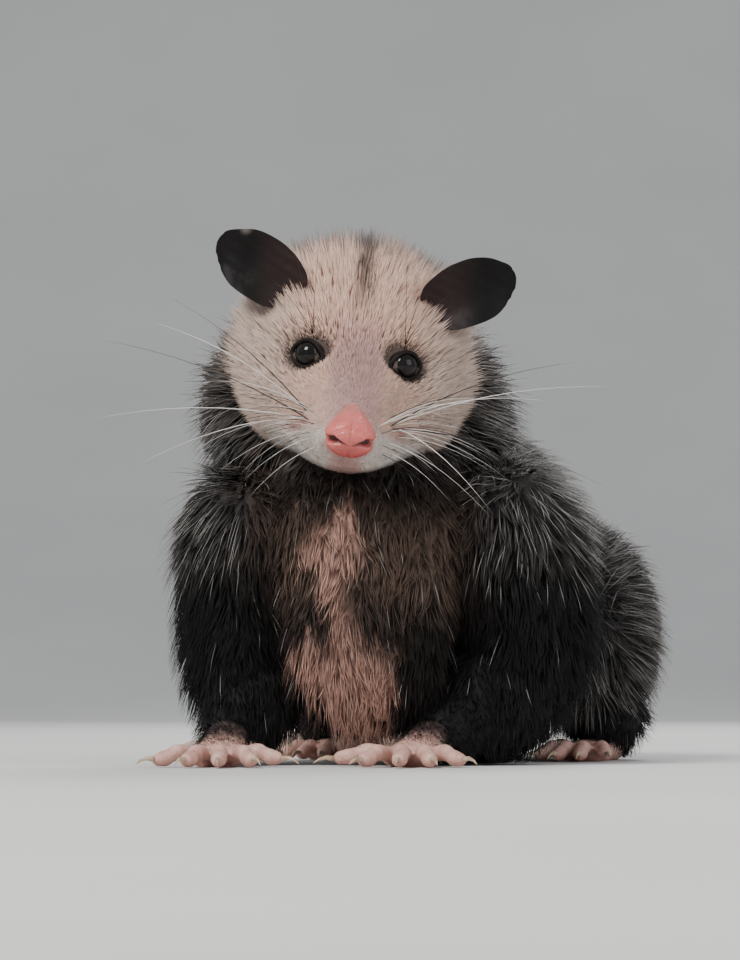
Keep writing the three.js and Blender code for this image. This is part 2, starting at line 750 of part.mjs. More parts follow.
add("neck", withinCell(furred([neckCore], COATS.neck()), { head_neck: -1, neck_chest: 1 }), "coat");
const chestCell = { neck_chest: -1, chest_belly: 1, arm_left: -1, arm_right: -1 };
const chest = withinCell(furred([trunkCore, breastCore], COATS.chest()), chestCell);
const palms = Object.keys(SIDES).map((name) => palmForm(name).solid(GAP));
add("chest", cut(onFloor(chest, FLOOR_CLEARANCE), palms), "chest_fur");
const bellyCell = { neck_chest: -1, chest_belly: -1, belly_rump: 1, leg_left: -1, leg_right: -1 };
const belly = withinCell(furred([trunkCore], COATS.belly()), bellyCell);
add("belly", onFloor(belly, FLOOR_CLEARANCE), "coat");
const rumpCell = { belly_rump: -1, leg_left: -1, leg_right: -1 };
const rump = withinCell(furred([trunkCore], COATS.rump()), rumpCell);
add("rump", onFloor(rump, FLOOR_CLEARANCE).subtract(tail.solid(GAP)), "coat");
for (const [name, side] of Object.entries(SIDES)) {
  add(`eye_${name}`, ball(eyeAt(side), EYE_RADIUS), "eye");
  add(`ear_${name}`, earForm(side).solid(), "ear_skin");
  add(`whiskers_${name}`, whiskers(name), "whisker");
  const { upper, fore, fingers } = ARMS[name];
  const armCell = { [`arm_${name}`]: 1, chest_belly: 1 };
  const upperCore = core(armForm(upper));
  const upperLocks = limbLocks(upperCore, name, [0.1, 0.42], -75, 140, DOWNWARD);
  const upperCell = { ...armCell, neck_chest: -1, [`elbow_${name}`]: 1 };
  add(`upper_arm_${name}`, withinCell(furred([upperCore], upperLocks), upperCell), "black_fur");
  const foreCore = core(armForm(fore));
  const foreLocks = limbLocks(foreCore, name, [0.12, 0.42], -60, 130, DOWNWARD);
  const foreCell = { ...armCell, [`elbow_${name}`]: -1, [`wrist_${name}`]: 1 };
  const forearm = withinCell(furred([foreCore], foreLocks), foreCell);
  add(`forearm_${name}`, onFloor(forearm, FLOOR_CLEARANCE), "black_fur");
  add(`hand_${name}`, hand(name), "bare_skin");
  const thighCore = core(legForm(THIGH, side));
  const thighLocks = limbLocks(thighCore, name, [0.1, 0.36, 0.66], -75, 80, HAUNCH);
  const thighCell = { [`leg_${name}`]: 1, [`knee_${name}`]: 1, chest_belly: -1 };
  add(`thigh_${name}`, withinCell(furred([thighCore], thighLocks), thighCell), "coat");
  add(
    `shank_${name}`,
    onFloor(
      withinCell(legForm(SHANK, side).solid(), { [`knee_${name}`]: -1, [`ankle_${name}`]: 1 }),
      FLOOR_CLEARANCE,
    ),
    "black_fur",
  );
  add(`foot_${name}`, foot(name), "bare_skin");
  fingers.forEach((finger, i) => add(`claw_hand_${name}_${i + 1}`, claw(finger, FINGER_RADIUS), "claw"));
  TOES.slice(1).forEach((toe, i) =>
    add(
      `claw_foot_${name}_${i + 2}`,
      claw(mirroredDigit(toe, side), FINGER_RADIUS, turnedWithPelvis),
      "claw",
    ),
  );
}
const tailEnds = [0, ...TAIL_JOINS, 1];
for (let i = 0; i < TAIL_PIECES; i++) {
  const half = GAP / 2 / tail.centres.getLength();
  const from = tailEnds[i] + (i ? half : 0);
  const to = tailEnds[i + 1] - (i < TAIL_PIECES - 1 ? half : 0);
  const length = new Loft({ stations: TAIL_LINE.map((p, k) => [...p, TAIL_RADII[k]]), around: 10, along: 8 });
  length.caps = [i ? 0 : 0.5, i < TAIL_PIECES - 1 ? 0 : 0.9];
  add(`tail_${i + 1}`, onFloor(length.solid(0, from, to)), i < 2 ? "tail_black" : "tail_pale");
}

// The origin is on the floor under the middle of the animal
const box = new THREE.Box3().setFromObject(animal);
animal.position.set(-(box.min.x + box.max.x) / 2, -(box.min.y + box.max.y) / 2, -box.min.z);

export default animal;
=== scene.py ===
import math

import bpy
import numpy as np
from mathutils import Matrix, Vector
from mathutils.bvhtree import BVHTree
from mathutils.kdtree import KDTree


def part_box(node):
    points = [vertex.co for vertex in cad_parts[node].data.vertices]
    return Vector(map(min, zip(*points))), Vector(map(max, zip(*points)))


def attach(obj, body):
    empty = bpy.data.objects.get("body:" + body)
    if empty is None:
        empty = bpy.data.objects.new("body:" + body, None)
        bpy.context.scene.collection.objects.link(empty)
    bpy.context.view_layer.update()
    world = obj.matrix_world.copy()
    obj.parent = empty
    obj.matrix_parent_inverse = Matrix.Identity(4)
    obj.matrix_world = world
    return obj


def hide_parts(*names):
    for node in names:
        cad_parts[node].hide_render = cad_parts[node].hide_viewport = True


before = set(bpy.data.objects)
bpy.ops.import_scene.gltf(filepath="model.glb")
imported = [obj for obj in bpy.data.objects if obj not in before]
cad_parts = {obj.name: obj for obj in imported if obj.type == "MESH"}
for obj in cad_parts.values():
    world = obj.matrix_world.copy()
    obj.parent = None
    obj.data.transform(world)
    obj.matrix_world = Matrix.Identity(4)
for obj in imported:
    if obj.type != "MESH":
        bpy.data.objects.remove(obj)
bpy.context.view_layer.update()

rng = np.random.default_rng(7)
SIDES = {"left": 1, "right": -1}


def array(values):
    return np.array(values, dtype=float)


def unit(vectors):
    return vectors / np.maximum(np.linalg.norm(vectors, axis=-1, keepdims=True), 1e-9)


def smooth(low, high, values):
    t = np.clip((values - low) / (high - low), 0, 1)
    return t * t * (3 - 2 * t)


def turn(axis, degrees):
    c, s = math.cos(math.radians(degrees)), math.sin(math.radians(degrees))
    i, j = [(1, 2), (2, 0), (0, 1)][axis]
    m = np.eye(3)
    m[i, i] = m[j, j] = c
    m[i, j], m[j, i] = -s, s
    return m


# Places: the head's own frame has its origin midway between the eyes and its snout towards -Y
EYE_SPACING = 37.4
EYE_RADIUS = 6.0
HEAD_AT = array([-5.5, -20, 162.7])
HEAD_PITCH, HEAD_ROLL, HEAD_TURN = 27, 6.7, 2.5
PELVIS_AT = array([52, 162, 0])
PELVIS_TURN = -17
HEAD_AXES = turn(2, HEAD_TURN) @ turn(1, HEAD_ROLL) @ turn(0, HEAD_PITCH)
PELVIS_AXES = turn(2, PELVIS_TURN)
UP, FRONT = array([0, 0, 1]), array([0, -1, 0])


def box_middle(node):
    low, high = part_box(node)
    return (array(low) + array(high)) / 2 * 1000


SHIFT = (box_middle("eye_left") + box_middle("eye_right")) / 2 - HEAD_AT


def to_frame(points):
    return (points + SHIFT) / 1000


def in_head(points):
    return array(points) @ HEAD_AXES.T + HEAD_AT


def to_head(points):
    return (points - HEAD_AT) @ HEAD_AXES


def in_pelvis(points):
    return array(points) @ PELVIS_AXES.T + PELVIS_AT


# A lofted form: stations of x, y, z, half width to the side, up and down, curl of the edges and jowl.
# A station without the later values is as deep as wide, with no curl and no jowl.
# Angles run from the left side, 0, over the top, 90 degrees.
class Form:
    def __init__(self, stations, up=UP, caps=(0.5, 0.5), place=None, axes=np.eye(3), share=1.0):
        full = []
        for x, y, z, side, *rest in stations:
            rise = rest[0] if rest else side
            drop = rest[1] if len(rest) > 1 else rise
            curl, jowl = (*rest[2:], 0, 0)[:2]
            full.append([x, y, z, side * share, rise * share, drop * share, curl, jowl * share])
        self.rows = array(full)
        self.up = unit(array(up))
        self.caps = caps
        self.place = place
        self.axes = axes

    def values(self, t):
        t = np.clip(np.atleast_1d(array(t)), 0, 1)
        rows = np.vstack([2 * self.rows[0] - self.rows[1], self.rows, 2 * self.rows[-1] - self.rows[-2]])
        reach = t * (len(self.rows) - 1)
        i = np.minimum(reach.astype(int), len(self.rows) - 2)
        f = (reach - i)[:, None]
        a, b, c, d = rows[i], rows[i + 1], rows[i + 2], rows[i + 3]
        first, second, third = c - a, 2 * a - 5 * b + 4 * c - d, 3 * b - a - 3 * c + d
        at = 0.5 * (2 * b + first * f + second * f**2 + third * f**3)
        slope = 0.5 * (first + 2 * second * f + 3 * third * f**2)
        along = unit(slope[:, :3])
        rise = unit(self.up - along * (along @ self.up)[:, None])
        return at, along, rise, np.cross(along, rise)

    def points(self, t, angle):
        at, _, rise, side = self.values(t)
        c, s = np.cos(angle), np.sin(angle)
        height = np.where(s > 0, at[:, 4], at[:, 5]) * s
        across = c * (at[:, 3] + at[:, 7] * smooth(-0.5, 0.5, -s))
        height = height + at[:, 6] * (across / at[:, 3]) ** 2
        return self.placed(at[:, :3] + side * across[:, None] + rise * height[:, None])

    def placed(self, points):
        if self.place is None:
            return points
        return points @ self.axes.T + self.place

    def cap(self, end):
        at, along, _, _ = self.values(end)
        reach = self.caps[end] * min(at[0, 3], at[0, 4]) * (1 if end else -1)
        return self.placed(at[:, :3] + along * reach)


def head_form(stations, **more):
    return Form(stations, place=HEAD_AT, axes=HEAD_AXES, **more)


def pelvis_form(stations, side, **more):
    turned = [[side * row[0], *row[1:]] for row in stations]
    return Form(turned, place=PELVIS_AT, axes=PELVIS_AXES, **more)


# The stations of the body
MUZZLE = [
    [0, -44, -16, 11, 8, 12, 0, 3],
    [0, -36, -15.5, 13.8, 10.5, 18, 0, 6],
    [0, -25, -15, 17.5, 13.2, 24, 0, 10],
    [0, -13, -14.2, 22.5, 15.5, 29, 0, 13],
    [0, -3, -13.6, 33, 18.5, 33, 0, 11],
    [0, 9, -13, 41, 25.5, 32, 0, 8],
    [0, 24, -10, 46, 36, 35, 0, 7],
    [0, 40, -7, 46, 41, 35, 0, 4],
    [0, 56, -5, 41, 36, 30],
]
NECK = [
    [-8, -2, 157, 49, 48, 42],
    [-8, 20, 150, 65, 55, 48],
    [-3, 52, 136, 70, 50, 48],
    [8, 82, 122, 62, 42, 40],
]
TRUNK = [
    [-2, -4, 84, 36, 44, 62],
    [-1, 14, 90, 56, 52, 76],
    [5, 40, 94, 67, 60, 84],
    [16, 78, 94, 73, 66, 84],
    [30, 120, 86, 73, 67, 78],
    [44, 160, 76, 67, 64, 70],
    [56, 198, 64, 54, 53, 57],
    [65, 222, 53, 38, 37, 42],
    [70, 237, 44, 20, 20, 23],
]
BREAST = [
    [-3, -2, 126, 40, 16, 20],
    [-3, -11, 102, 43, 18, 24],
    [-2, -12, 72, 40, 19, 24],
    [-1, -5, 42, 36, 18, 20],
    [0, 4, 22, 30, 14, 14],
]
ARMS = {
    "left": {
        "upper": [
            [47, 8, 113, 26, 29],
            [55, 13, 92, 34, 37],
            [61, 18, 72, 33, 37],
            [64, 22, 50, 31, 34],
            [62, 22, 36, 28, 30],
        ],
        "fore": [
            [65, 24, 60, 28, 31],
            [60, 22, 40, 31, 31],
            [48, 12, 26, 30, 25],
            [33, 0, 15, 17, 14],
            [24, -9, 9, 9.5, 7.5],
        ],
        "palm": [
            [25, -6, 13, 8.5, 6.5],
            [20, -15, 7, 10, 6.5],
            [17, -24, 4.6, 11.5, 5.5],
            [15, -32, 3.6, 11, 4.4],
        ],
        "fingers": [
            [[11, -23, 4], [-13, -29, 3.6]],
            [[9, -31, 4], [-3, -51, 3]],
            [[14, -33, 4], [11, -58, 3]],
            [[19, -32, 4], [24, -56, 3]],
            [[23, -28, 4], [36, -46, 3]],
        ],
    },
    "right": {
        "upper": [
            [-46, 8, 113, 25, 28],
            [-50, 12, 92, 31, 35],
            [-52, 16, 72, 29, 34],
            [-53, 20, 50, 27, 32],
            [-52, 20, 36, 25, 28],
        ],
        "fore": [
            [-53, 22, 60, 25, 29],
            [-51, 20, 40, 27, 29],
            [-50, 11, 26, 26, 24],
            [-56, 0, 15, 16, 13],
            [-58, -9, 9, 9.5, 7.5],
        ],
        "palm": [
            [-57, -6, 13, 8.5, 6.5],
            [-59, -15, 7, 10, 6.5],
            [-60, -24, 4.6, 11.5, 5.5],
            [-61, -32, 3.6, 11, 4.4],
        ],
        "fingers": [
            [[-53, -24, 4], [-36, -36, 3.6]],
            [[-54, -32, 4], [-46, -53, 3]],
            [[-59, -34, 4], [-59, -59, 3]],
            [[-64, -33, 4], [-72, -54, 3]],
            [[-68, -29, 4], [-84, -42, 3]],
        ],
    },
}
THIGH = [
    [30, 16, 72, 34, 42],
    [42, 0, 62, 36, 47],
    [53, -22, 51, 32, 42],
    [59, -42, 41, 26, 32],
    [61, -53, 35, 18, 23],
]
SHANK = [
    [63, -48, 26, 19, 17],
    [62, -36, 22, 21, 18],
    [60, -20, 18, 20, 16],
    [59, -4, 13, 14, 11],
]
SOLE = [
    [60, -6, 9, 7, 7],
    [60, -18, 6.6, 8.5, 7.5],
    [59, -36, 5.1, 9.5, 6],
    [58, -50, 4.1, 10.5, 5],
    [57.5, -57, 3.6, 10, 4.5],
]
TOES = [
    [[52, -36, 4], [38, -50, 3.8]],
    [[51, -55, 4], [43, -73, 3.2]],
    [[55, -57, 4], [52, -78, 3.2]],
    [[60, -57, 4], [62, -78, 3.2]],
    [[64, -54, 4], [72, -71, 3.2]],
]
TAIL = [
    [55, 206, 46, 15],
    [64, 236, 28, 12.5],
    [66, 262, 13, 10.5],
    [50, 288, 8.6, 9],
    [18, 302, 7.2, 7.6],
    [-20, 300, 6, 6.4],
    [-54, 284, 4.8, 5.2],
    [-78, 256, 3.8, 4.2],
    [-88, 224, 2.4, 2.6],
]
NOSE = [
    [0, -35.5, -5.6, 2.2, 1.6, 3],
    [0, -39.5, -7.0, 4.4, 3.0, 6],
    [0, -43.5, -10.2, 7.6, 5.4, 9],
    [0, -47.5, -12.6, 9.2, 7.4, 8.6],
    [0, -51.5, -13.6, 8.8, 7.2, 7.8],
    [0, -54, -14.0, 6.2, 5.2, 5.6],
]
FINGER_RADIUS = 3.4
SKIN_SHARE = 0.82  # of the coat's outline, where the skin lies


def ear_stations(side):
    return [
        [side * 29, 25, 15, 7.5, 1.6, 1.6, 5],
        [side * 33.5, 25, 19.5, 11.5, 1.1, 1.1, 7],
        [side * 41, 26, 24.5, 13.2, 0.8, 0.8, 6],
        [side * 49, 28, 27.5, 12.4, 0.7, 0.7, 4],
        [side * 55.5, 30.5, 28.8, 9, 0.6, 0.6, 1.8],
        [side * 59.2, 32.6, 28.7, 5.8, 0.5, 0.5, 0.7],
        [side * 61.2, 33.5, 28.5, 2.2, 0.4, 0.4, 0.2],
    ]


# Meshes
def deselect():
    if bpy.context.object and bpy.context.object.mode != "OBJECT":
        bpy.ops.object.mode_set(mode="OBJECT")
    bpy.ops.object.select_all(action="DESELECT")


def get_points(piece):
    values = np.empty(len(piece.data.vertices) * 3)
    piece.data.vertices.foreach_get("co", values)
    return values.reshape(-1, 3)


def set_points(piece, points):
    piece.data.vertices.foreach_set("co", np.ascontiguousarray(points).ravel())
    piece.data.update()


# A sphere whose rings become the sections of a form; its points stay in millimetres until it is placed
def lofted(name, form, segments=32, rings=24):
    deselect()
    bpy.ops.mesh.primitive_uv_sphere_add(segments=segments, ring_count=rings, radius=1)
    piece = bpy.context.object
    piece.name = piece.data.name = name
    ball = get_points(piece)
    row = np.arccos(np.clip(ball[:, 2], -1, 1)) / math.pi * rings
    t = (row - 1) / (rings - 2)
    points = form.points(np.clip(t, 0, 1), np.arctan2(ball[:, 1], ball[:, 0]))
    points[ball[:, 2] > 0.99999] = form.cap(0)
    points[ball[:, 2] < -0.99999] = form.cap(1)
    set_points(piece, points)
    return piece


def joined(pieces, name):
    deselect()
    for piece in pieces:
        piece.select_set(True)
    bpy.context.view_layer.objects.active = pieces[0]
    if len(pieces) > 1:
        bpy.ops.object.join()
    pieces[0].name = pieces[0].data.name = name
    return pieces[0]


def modified(piece, kind, **settings):
    deselect()
    piece.select_set(True)
    bpy.context.view_layer.objects.active = piece
    modifier = piece.modifiers.new(kind.title(), kind)
    for key, value in settings.items():
        setattr(modifier, key, value)
    bpy.ops.object.modifier_apply(modifier=modifier.name)
    return piece


def fused(pieces, name, voxel, smoothing=6):
    piece = joined(pieces, name)
    modified(piece, "REMESH", mode="VOXEL", voxel_size=voxel)
    return modified(piece, "SMOOTH", factor=0.5, iterations=smoothing)


def finish(piece, look, replaces=()):
    piece.data.materials.clear()
    piece.data.materials.append(look)
    set_points(piece, to_frame(get_points(piece)))
    piece.data.polygons.foreach_set("use_smooth", np.ones(len(piece.data.polygons), dtype=bool))
    piece.data.update()
    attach(piece, "root")
    if replaces:
        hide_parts(*replaces)
    return piece


def paint(piece, colours):
    layer = piece.data.attributes.new("Tint", "FLOAT_COLOR", "POINT")
    rgba = np.ones((len(colours), 4))
    rgba[:, :3] = colours
    layer.data.foreach_set("color", rgba.ravel())


# Materials
def material(name, roughness, specular=0.5, coat=0.0, subsurface=0.0):
    made = bpy.data.materials.new(name)
    made.use_nodes = True
    shader = made.node_tree.nodes["Principled BSDF"]
    settings = {
        "Roughness": roughness,
        "Specular IOR Level": specular,
        "Coat Weight": coat,
        "Coat Roughness": 0.15,
        "Subsurface Weight": subsurface,
        "Subsurface Scale": 0.003,
    }
    for socket, value in settings.items():
        shader.inputs[socket].default_value = value
    return made, made.node_tree, shader


# A texture node on the piece's own coordinates
def texture(tree, kind, scale):
    place = tree.nodes.new("ShaderNodeTexCoord")
    node = tree.nodes.new(kind)
    node.inputs["Scale"].default_value = scale
    tree.links.new(place.outputs["Object"], node.inputs["Vector"])
    return node


def noise(tree, scale):
    node = texture(tree, "ShaderNodeTexNoise", scale)
    node.inputs["Detail"].default_value = 4
    return node.outputs["Fac"]


def cells(tree, scale, feature="F1"):
    node = texture(tree, "ShaderNodeTexVoronoi", scale)
    node.feature = feature
    return node.outputs["Distance"]


def bump(tree, shader, height, strength, distance):
    node = tree.nodes.new("ShaderNodeBump")
    node.inputs["Strength"].default_value = strength
    node.inputs["Distance"].default_value = distance
    tree.links.new(height, node.inputs["Height"])
    tree.links.new(node.outputs["Normal"], shader.inputs["Normal"])


def two_colours(tree, shader, factor, dark, light):
    ramp = tree.nodes.new("ShaderNodeValToRGB")
    for element, place, colour in zip(ramp.color_ramp.elements, (0.35, 0.65), (dark, light)):
        element.position = place
        element.color = (*colour, 1)
    tree.links.new(factor, ramp.inputs["Fac"])
    tree.links.new(ramp.outputs["Color"], shader.inputs["Base Color"])


# The piece's painted colours, varied a little by a noise
def tinted_material(name, roughness, variation, scale, **more):
    made, tree, shader = material(name, roughness, **more)
    tint = tree.nodes.new("ShaderNodeAttribute")
    tint.attribute_name = "Tint"
    shade = tree.nodes.new("ShaderNodeMapRange")
    shade.inputs["To Min"].default_value = 1 - variation
    shade.inputs["To Max"].default_value = 1 + variation
    tree.links.new(noise(tree, scale), shade.inputs["Value"])
    scaled = tree.nodes.new("ShaderNodeVectorMath")
    scaled.operation = "SCALE"
    tree.links.new(tint.outputs["Color"], scaled.inputs[0])
    tree.links.new(shade.outputs["Result"], scaled.inputs["Scale"])
    tree.links.new(scaled.outputs["Vector"], shader.inputs["Base Color"])
    return made, tree, shader


def fur_material():
    return tinted_material("fur", 0.62, 0.25, 260, specular=0.25)[0]


def skin_material():
    made, tree, shader = tinted_material("skin", 0.7, 0.15, 300, specular=0.3)
    bump(tree, shader, noise(tree, 900), 0.5, 0.0004)
    return made


def hand_material():
    made, tree, shader = tinted_material("hand_skin", 0.5, 0.16, 420, specular=0.45, subsurface=0.12)
    bump(tree, shader, cells(tree, 900), 0.55, 0.0004)
    return made


def nose_material():
    made, tree, shader = tinted_material("nose_skin", 0.34, 0.2, 500, coat=0.15, subsurface=0.15)
    bump(tree, shader, cells(tree, 1100), 0.45, 0.0004)
    return made


def ear_material():
    made, tree, shader = tinted_material("ear_skin", 0.5, 0.2, 350, specular=0.12)
    bump(tree, shader, noise(tree, 500), 0.4, 0.0005)
    return made


def tail_material():
    made, tree, shader = tinted_material("tail_skin", 0.55, 0.2, 200, specular=0.4)
    bump(tree, shader, cells(tree, 620, "DISTANCE_TO_EDGE"), 0.8, 0.001)
    return made


def eye_material():
    made, tree, shader = material("eye", 0.04, specular=0.32)
    two_colours(tree, shader, noise(tree, 200), (0.002, 0.002, 0.002), (0.008, 0.005, 0.004))
    return made


def lid_material():
    made, tree, shader = material("eyelid", 0.6, specular=0.15)
    grain = noise(tree, 700)
    two_colours(tree, shader, grain, (0.005, 0.004, 0.004), (0.016, 0.011, 0.010))
    bump(tree, shader, grain, 0.4, 0.0003)
    return made


def claw_material():
    made, tree, shader = material("claw", 0.35, coat=0.2)
    grain = noise(tree, 350)
    two_colours(tree, shader, grain, (0.36, 0.24, 0.14), (0.66, 0.52, 0.38))
    bump(tree, shader, grain, 0.2, 0.0002)
    return made


def whisker_material():
    return tinted_material("whisker", 0.4, 0.1, 500, specular=0.4)[0]


# The skin: the body's forms, drawn in by the depth of the coat. The mouth's points are places along the
# muzzle and degrees below its middle.
MUZZLE_INSET = [1, 1, 1.2, 1.8, 2.4, 5, 9, 12, 12]
SCREEN_UP = turn(1, HEAD_ROLL)[:, 2]
NOSE_TIP = in_head([0, -50, -14])
EYES = {name: in_head([side * EYE_SPACING / 2, 0, 0]) for name, side in SIDES.items()}
EYE_WAYS = {name: unit(HEAD_AXES @ array([side * 0.5, -0.78, 0.38])) for name, side in SIDES.items()}
MOUTH = [(0.34, 4), (0.25, 14), (0.16, 24), (0.08, 38), (0.02, 62)]
BODY_VOXEL, HEAD_VOXEL = 2.4, 1.0


def head_skin():
    rows = []
    for (x, y, z, side, rise, drop, *rest), inset in zip(MUZZLE, MUZZLE_INSET):
        rows.append([x, y, z, side - inset, rise - inset, drop - inset, *rest])
    return head_form(rows, caps=(0.45, 0.4))


BACK = (0.28, 0.9, -0.3)
FLANK = (0.15, 0.65, -0.75)
DOWN = (0, 0.05, -1)
HAUNCH = (0.1, 0.6, -0.8)


# Each part: its form, how its hair lies, the coat it belongs to, and the hair's and guard hair's lengths
def body_parts(share):
    parts = {
        "neck": (Form(NECK, share=share), BACK, "coat", 16, 27),
        "trunk": (Form(TRUNK, share=share), FLANK, "coat", 17, 28),
        "breast": (Form(BREAST, up=FRONT, share=share), DOWN, "chest", 12, 17),
    }
    for name, side in SIDES.items():
        arm = ARMS[name]
        parts["upper_" + name] = (Form(arm["upper"], up=FRONT, share=share), DOWN, "black", 15, 21)
        parts["fore_" + name] = (Form(arm["fore"], up=FRONT, share=share), DOWN, "black", 10, 14)
        parts["thigh_" + name] = (pelvis_form(THIGH, side, share=share), HAUNCH, "coat", 13, 18)
        parts["shank_" + name] = (pelvis_form(SHANK, side, share=share), DOWN, "black", 8, 10)
    return parts


def skin_forms():
    return [head_skin(), *(part[0] for part in body_parts(SKIN_SHARE).values())]


def mouth_path(form):
    ends = array([row[0] for row in MOUTH])
    below = np.radians(array([row[1] for row in MOUTH]))
    order = np.linspace(0, len(MOUTH) - 1, 40)
    t = np.interp(order, np.arange(len(MOUTH)), ends)
    fall = np.interp(order, np.arange(len(MOUTH)), below)
    return np.vstack([form.points(t, -fall), form.points(t[::-1], math.pi + fall[::-1])])


def distance_to(points, path):
    squares = (points**2).sum(1)[:, None] - 2 * points @ path.T + (path**2).sum(1)[None]
    return np.sqrt(np.maximum(squares.min(axis=1), 0))


def mouth_distance(points):
    return distance_to(points, mouth_path(head_skin()))


def eye_distance(points):
    return np.minimum(*[np.linalg.norm(points - EYES[name], axis=1) for name in SIDES])


# Sockets for the eyes, the mouth's line between its lips, and the pads that bear the whiskers
def sculpted(head):
    points = get_points(head)
    for name in SIDES:
        away = points - EYES[name]
        reach = np.linalg.norm(away, axis=1)
        angle = np.degrees(np.arccos(np.clip((away @ EYE_WAYS[name]) / np.maximum(reach, 1e-6), -1, 1)))
        target = 5.0 + 2.2 * smooth(48, 60, angle)
        weight = (1 - smooth(62, 105, angle)) * (reach < 13)
        moved = reach * (1 - weight) + target * weight
        points = EYES[name] + away * (moved / np.maximum(reach, 1e-6))[:, None]
    set_points(head, points)
    normals = np.empty(points.size)
    head.data.vertices.foreach_get("normal", normals)
    normals = normals.reshape(-1, 3)
    gap = mouth_distance(points)
    lips, line = 0.5 * np.exp(-(((gap - 2.2) / 1.1) ** 2)), 1.5 * np.exp(-((gap / 0.8) ** 2))
    points += normals * (lips - line)[:, None]
    for side in SIDES.values():
        pad = np.linalg.norm(points - in_head([side * 12.5, -33, -16]), axis=1)
        points += normals * (1.4 * (1 - smooth(2, 9, pad)))[:, None]
    set_points(head, points)
    return head


def body_skin():
    forms = skin_forms()[1:]
    body = fused([lofted(f"body_{i}", form, 40, 32) for i, form in enumerate(forms)], "body", BODY_VOXEL)
    head = sculpted(fused([lofted("head_skin", head_skin(), 64, 60)], "head_skin", HEAD_VOXEL, 2))
    return body, head


# Where points lie on the parts: how far out, along and around, and how much each part counts
def survey(points, forms):
    spots = np.linspace(0, 1, 40)
    outs, alongs, arounds = [], [], []
    for form in forms:
        at, along, rise, side = form.values(spots)
        centre = form.placed(at[:, :3])
        axes = [unit(v @ form.axes.T) if form.place is not None else v for v in (along, rise, side)]
        half = at[:, 3:6].mean(axis=1)
        square = (points**2).sum(1)[:, None] - 2 * points @ centre.T + (centre**2).sum(1)[None]
        near = np.argmin(square / half**2, axis=1)
        away = points - centre[near]
        ahead, up, across = [(away * axis[near]).sum(axis=1) for axis in axes]
        a = across / at[near, 3]
        b = up / np.where(up > 0, at[near, 4], at[near, 5])
        outs.append(np.sqrt(a**2 + b**2 + (2 * ahead / half[near]) ** 2))
        alongs.append(spots[near] + ahead / (40 * half[near]))
        arounds.append(np.arctan2(b, a) / (2 * math.pi) + 0.5)
    outs = array(outs).T
    weights = np.exp(-8 * (outs - outs.min(axis=1, keepdims=True)))
    weights /= weights.sum(axis=1, keepdims=True)
    return outs, np.clip(array(alongs).T, 0, 1), array(arounds).T, weights


# The front of the trunk and neck counts as the breast
def with_breast(points, weights):
    front = smooth(20, 5, points[:, 1]) * smooth(136, 120, points[:, 2])
    moved = weights[:, 1:3] * front[:, None]
    weights = weights.copy()
    weights[:, 1:3] -= moved
    weights[:, 3] += moved.sum(axis=1)
    return weights


def head_only(weights):
    weights = np.zeros_like(weights)
    weights[:, 0] = 1
    return weights


# Colours of the coat by formula, the same for hair and skin
CREAM = array([0.76, 0.515, 0.41])
CHEEK = array([0.60, 0.46, 0.385])
LIP = array([0.74, 0.66, 0.60])
BRIDGE = array([0.55, 0.35, 0.325])
STRIPE = array([0.03, 0.024, 0.022])
EYE_RING = array([0.02, 0.014, 0.012])
MOUTH_PINK = array([0.52, 0.20, 0.18])
LIP_SKIN = array([0.40, 0.16, 0.14])
DARK_COAT = array([0.034, 0.030, 0.028])
BLACK_COAT = array([0.010, 0.009, 0.009])
BROWN = array([0.125, 0.082, 0.062])
PINK = array([0.56, 0.33, 0.26])
TUFT_TIP = array([0.34, 0.32, 0.30])
GUARD_GREY = array([0.42, 0.40, 0.38])
GUARD_WHITE = array([0.72, 0.69, 0.66])
ANKLE_HAIR = array([0.5, 0.36, 0.30])


def mix(colours, other, amount):
    return colours + (other - colours) * np.clip(amount, 0, 1)[:, None]


def waves(points, length, seed):
    near = np.random.default_rng(seed)
    total = np.zeros(len(points))
    for _ in range(5):
        total += np.sin(points @ (near.normal(size=3) * 2 * math.pi / length) + near.uniform(0, 6.28))
    return total / 2.5


def face_colours(points):
    head = to_head(points)
    across = head[:, 0]
    above = (points - HEAD_AT) @ SCREEN_UP
    wide = np.abs(across + 1.5 * waves(points, 14, 3))
    colours = np.tile(CREAM, (len(points), 1))
    colours = mix(colours, CHEEK, smooth(16, 32, wide))
    bridge = (1 - smooth(6, 13, wide)) * (1 - smooth(0, 18, above))
    colours = mix(colours, BRIDGE, 0.85 * bridge)
    colours = mix(colours, LIP, smooth(-27, -34, above) * smooth(4, 9, wide) * (head[:, 1] < -8))
    narrow = np.abs(across + 0.5 * waves(points, 12, 4))
    stripe = (1 - smooth(1.3, 4.2, narrow)) * smooth(8, 30, above) * (0.8 + 0.3 * waves(points, 9, 17))
    colours = mix(colours, STRIPE, 0.92 * stripe)
    mouth_corner = np.hypot(wide - 18.5, above + 29)
    colours = mix(colours, MOUTH_PINK, 0.7 * (1 - smooth(1.2, 4.2, mouth_corner)) * (head[:, 1] < -12))
    for name, side in SIDES.items():
        ring = 1 - smooth(8.0, 11.0, np.linalg.norm(points - EYES[name], axis=1))
        corner = EYES[name] + HEAD_AXES @ array([side * 7.0, -1, 6.0])
        smudge = 1 - smooth(2.5, 8.5, np.linalg.norm(points - corner, axis=1))
        inner = EYES[name] + HEAD_AXES @ array([-side * 6, -6, -5])
        tear = 0.6 * (1 - smooth(1, 5, np.linalg.norm(points - inner, axis=1)))
        colours = mix(colours, EYE_RING, np.maximum(np.maximum(0.9 * ring, 0.75 * smudge), tear))
    return mix(colours, DARK_COAT * 3, 0.85 * smooth(27, 46, head[:, 1] + 3 * waves(points, 16, 7)))


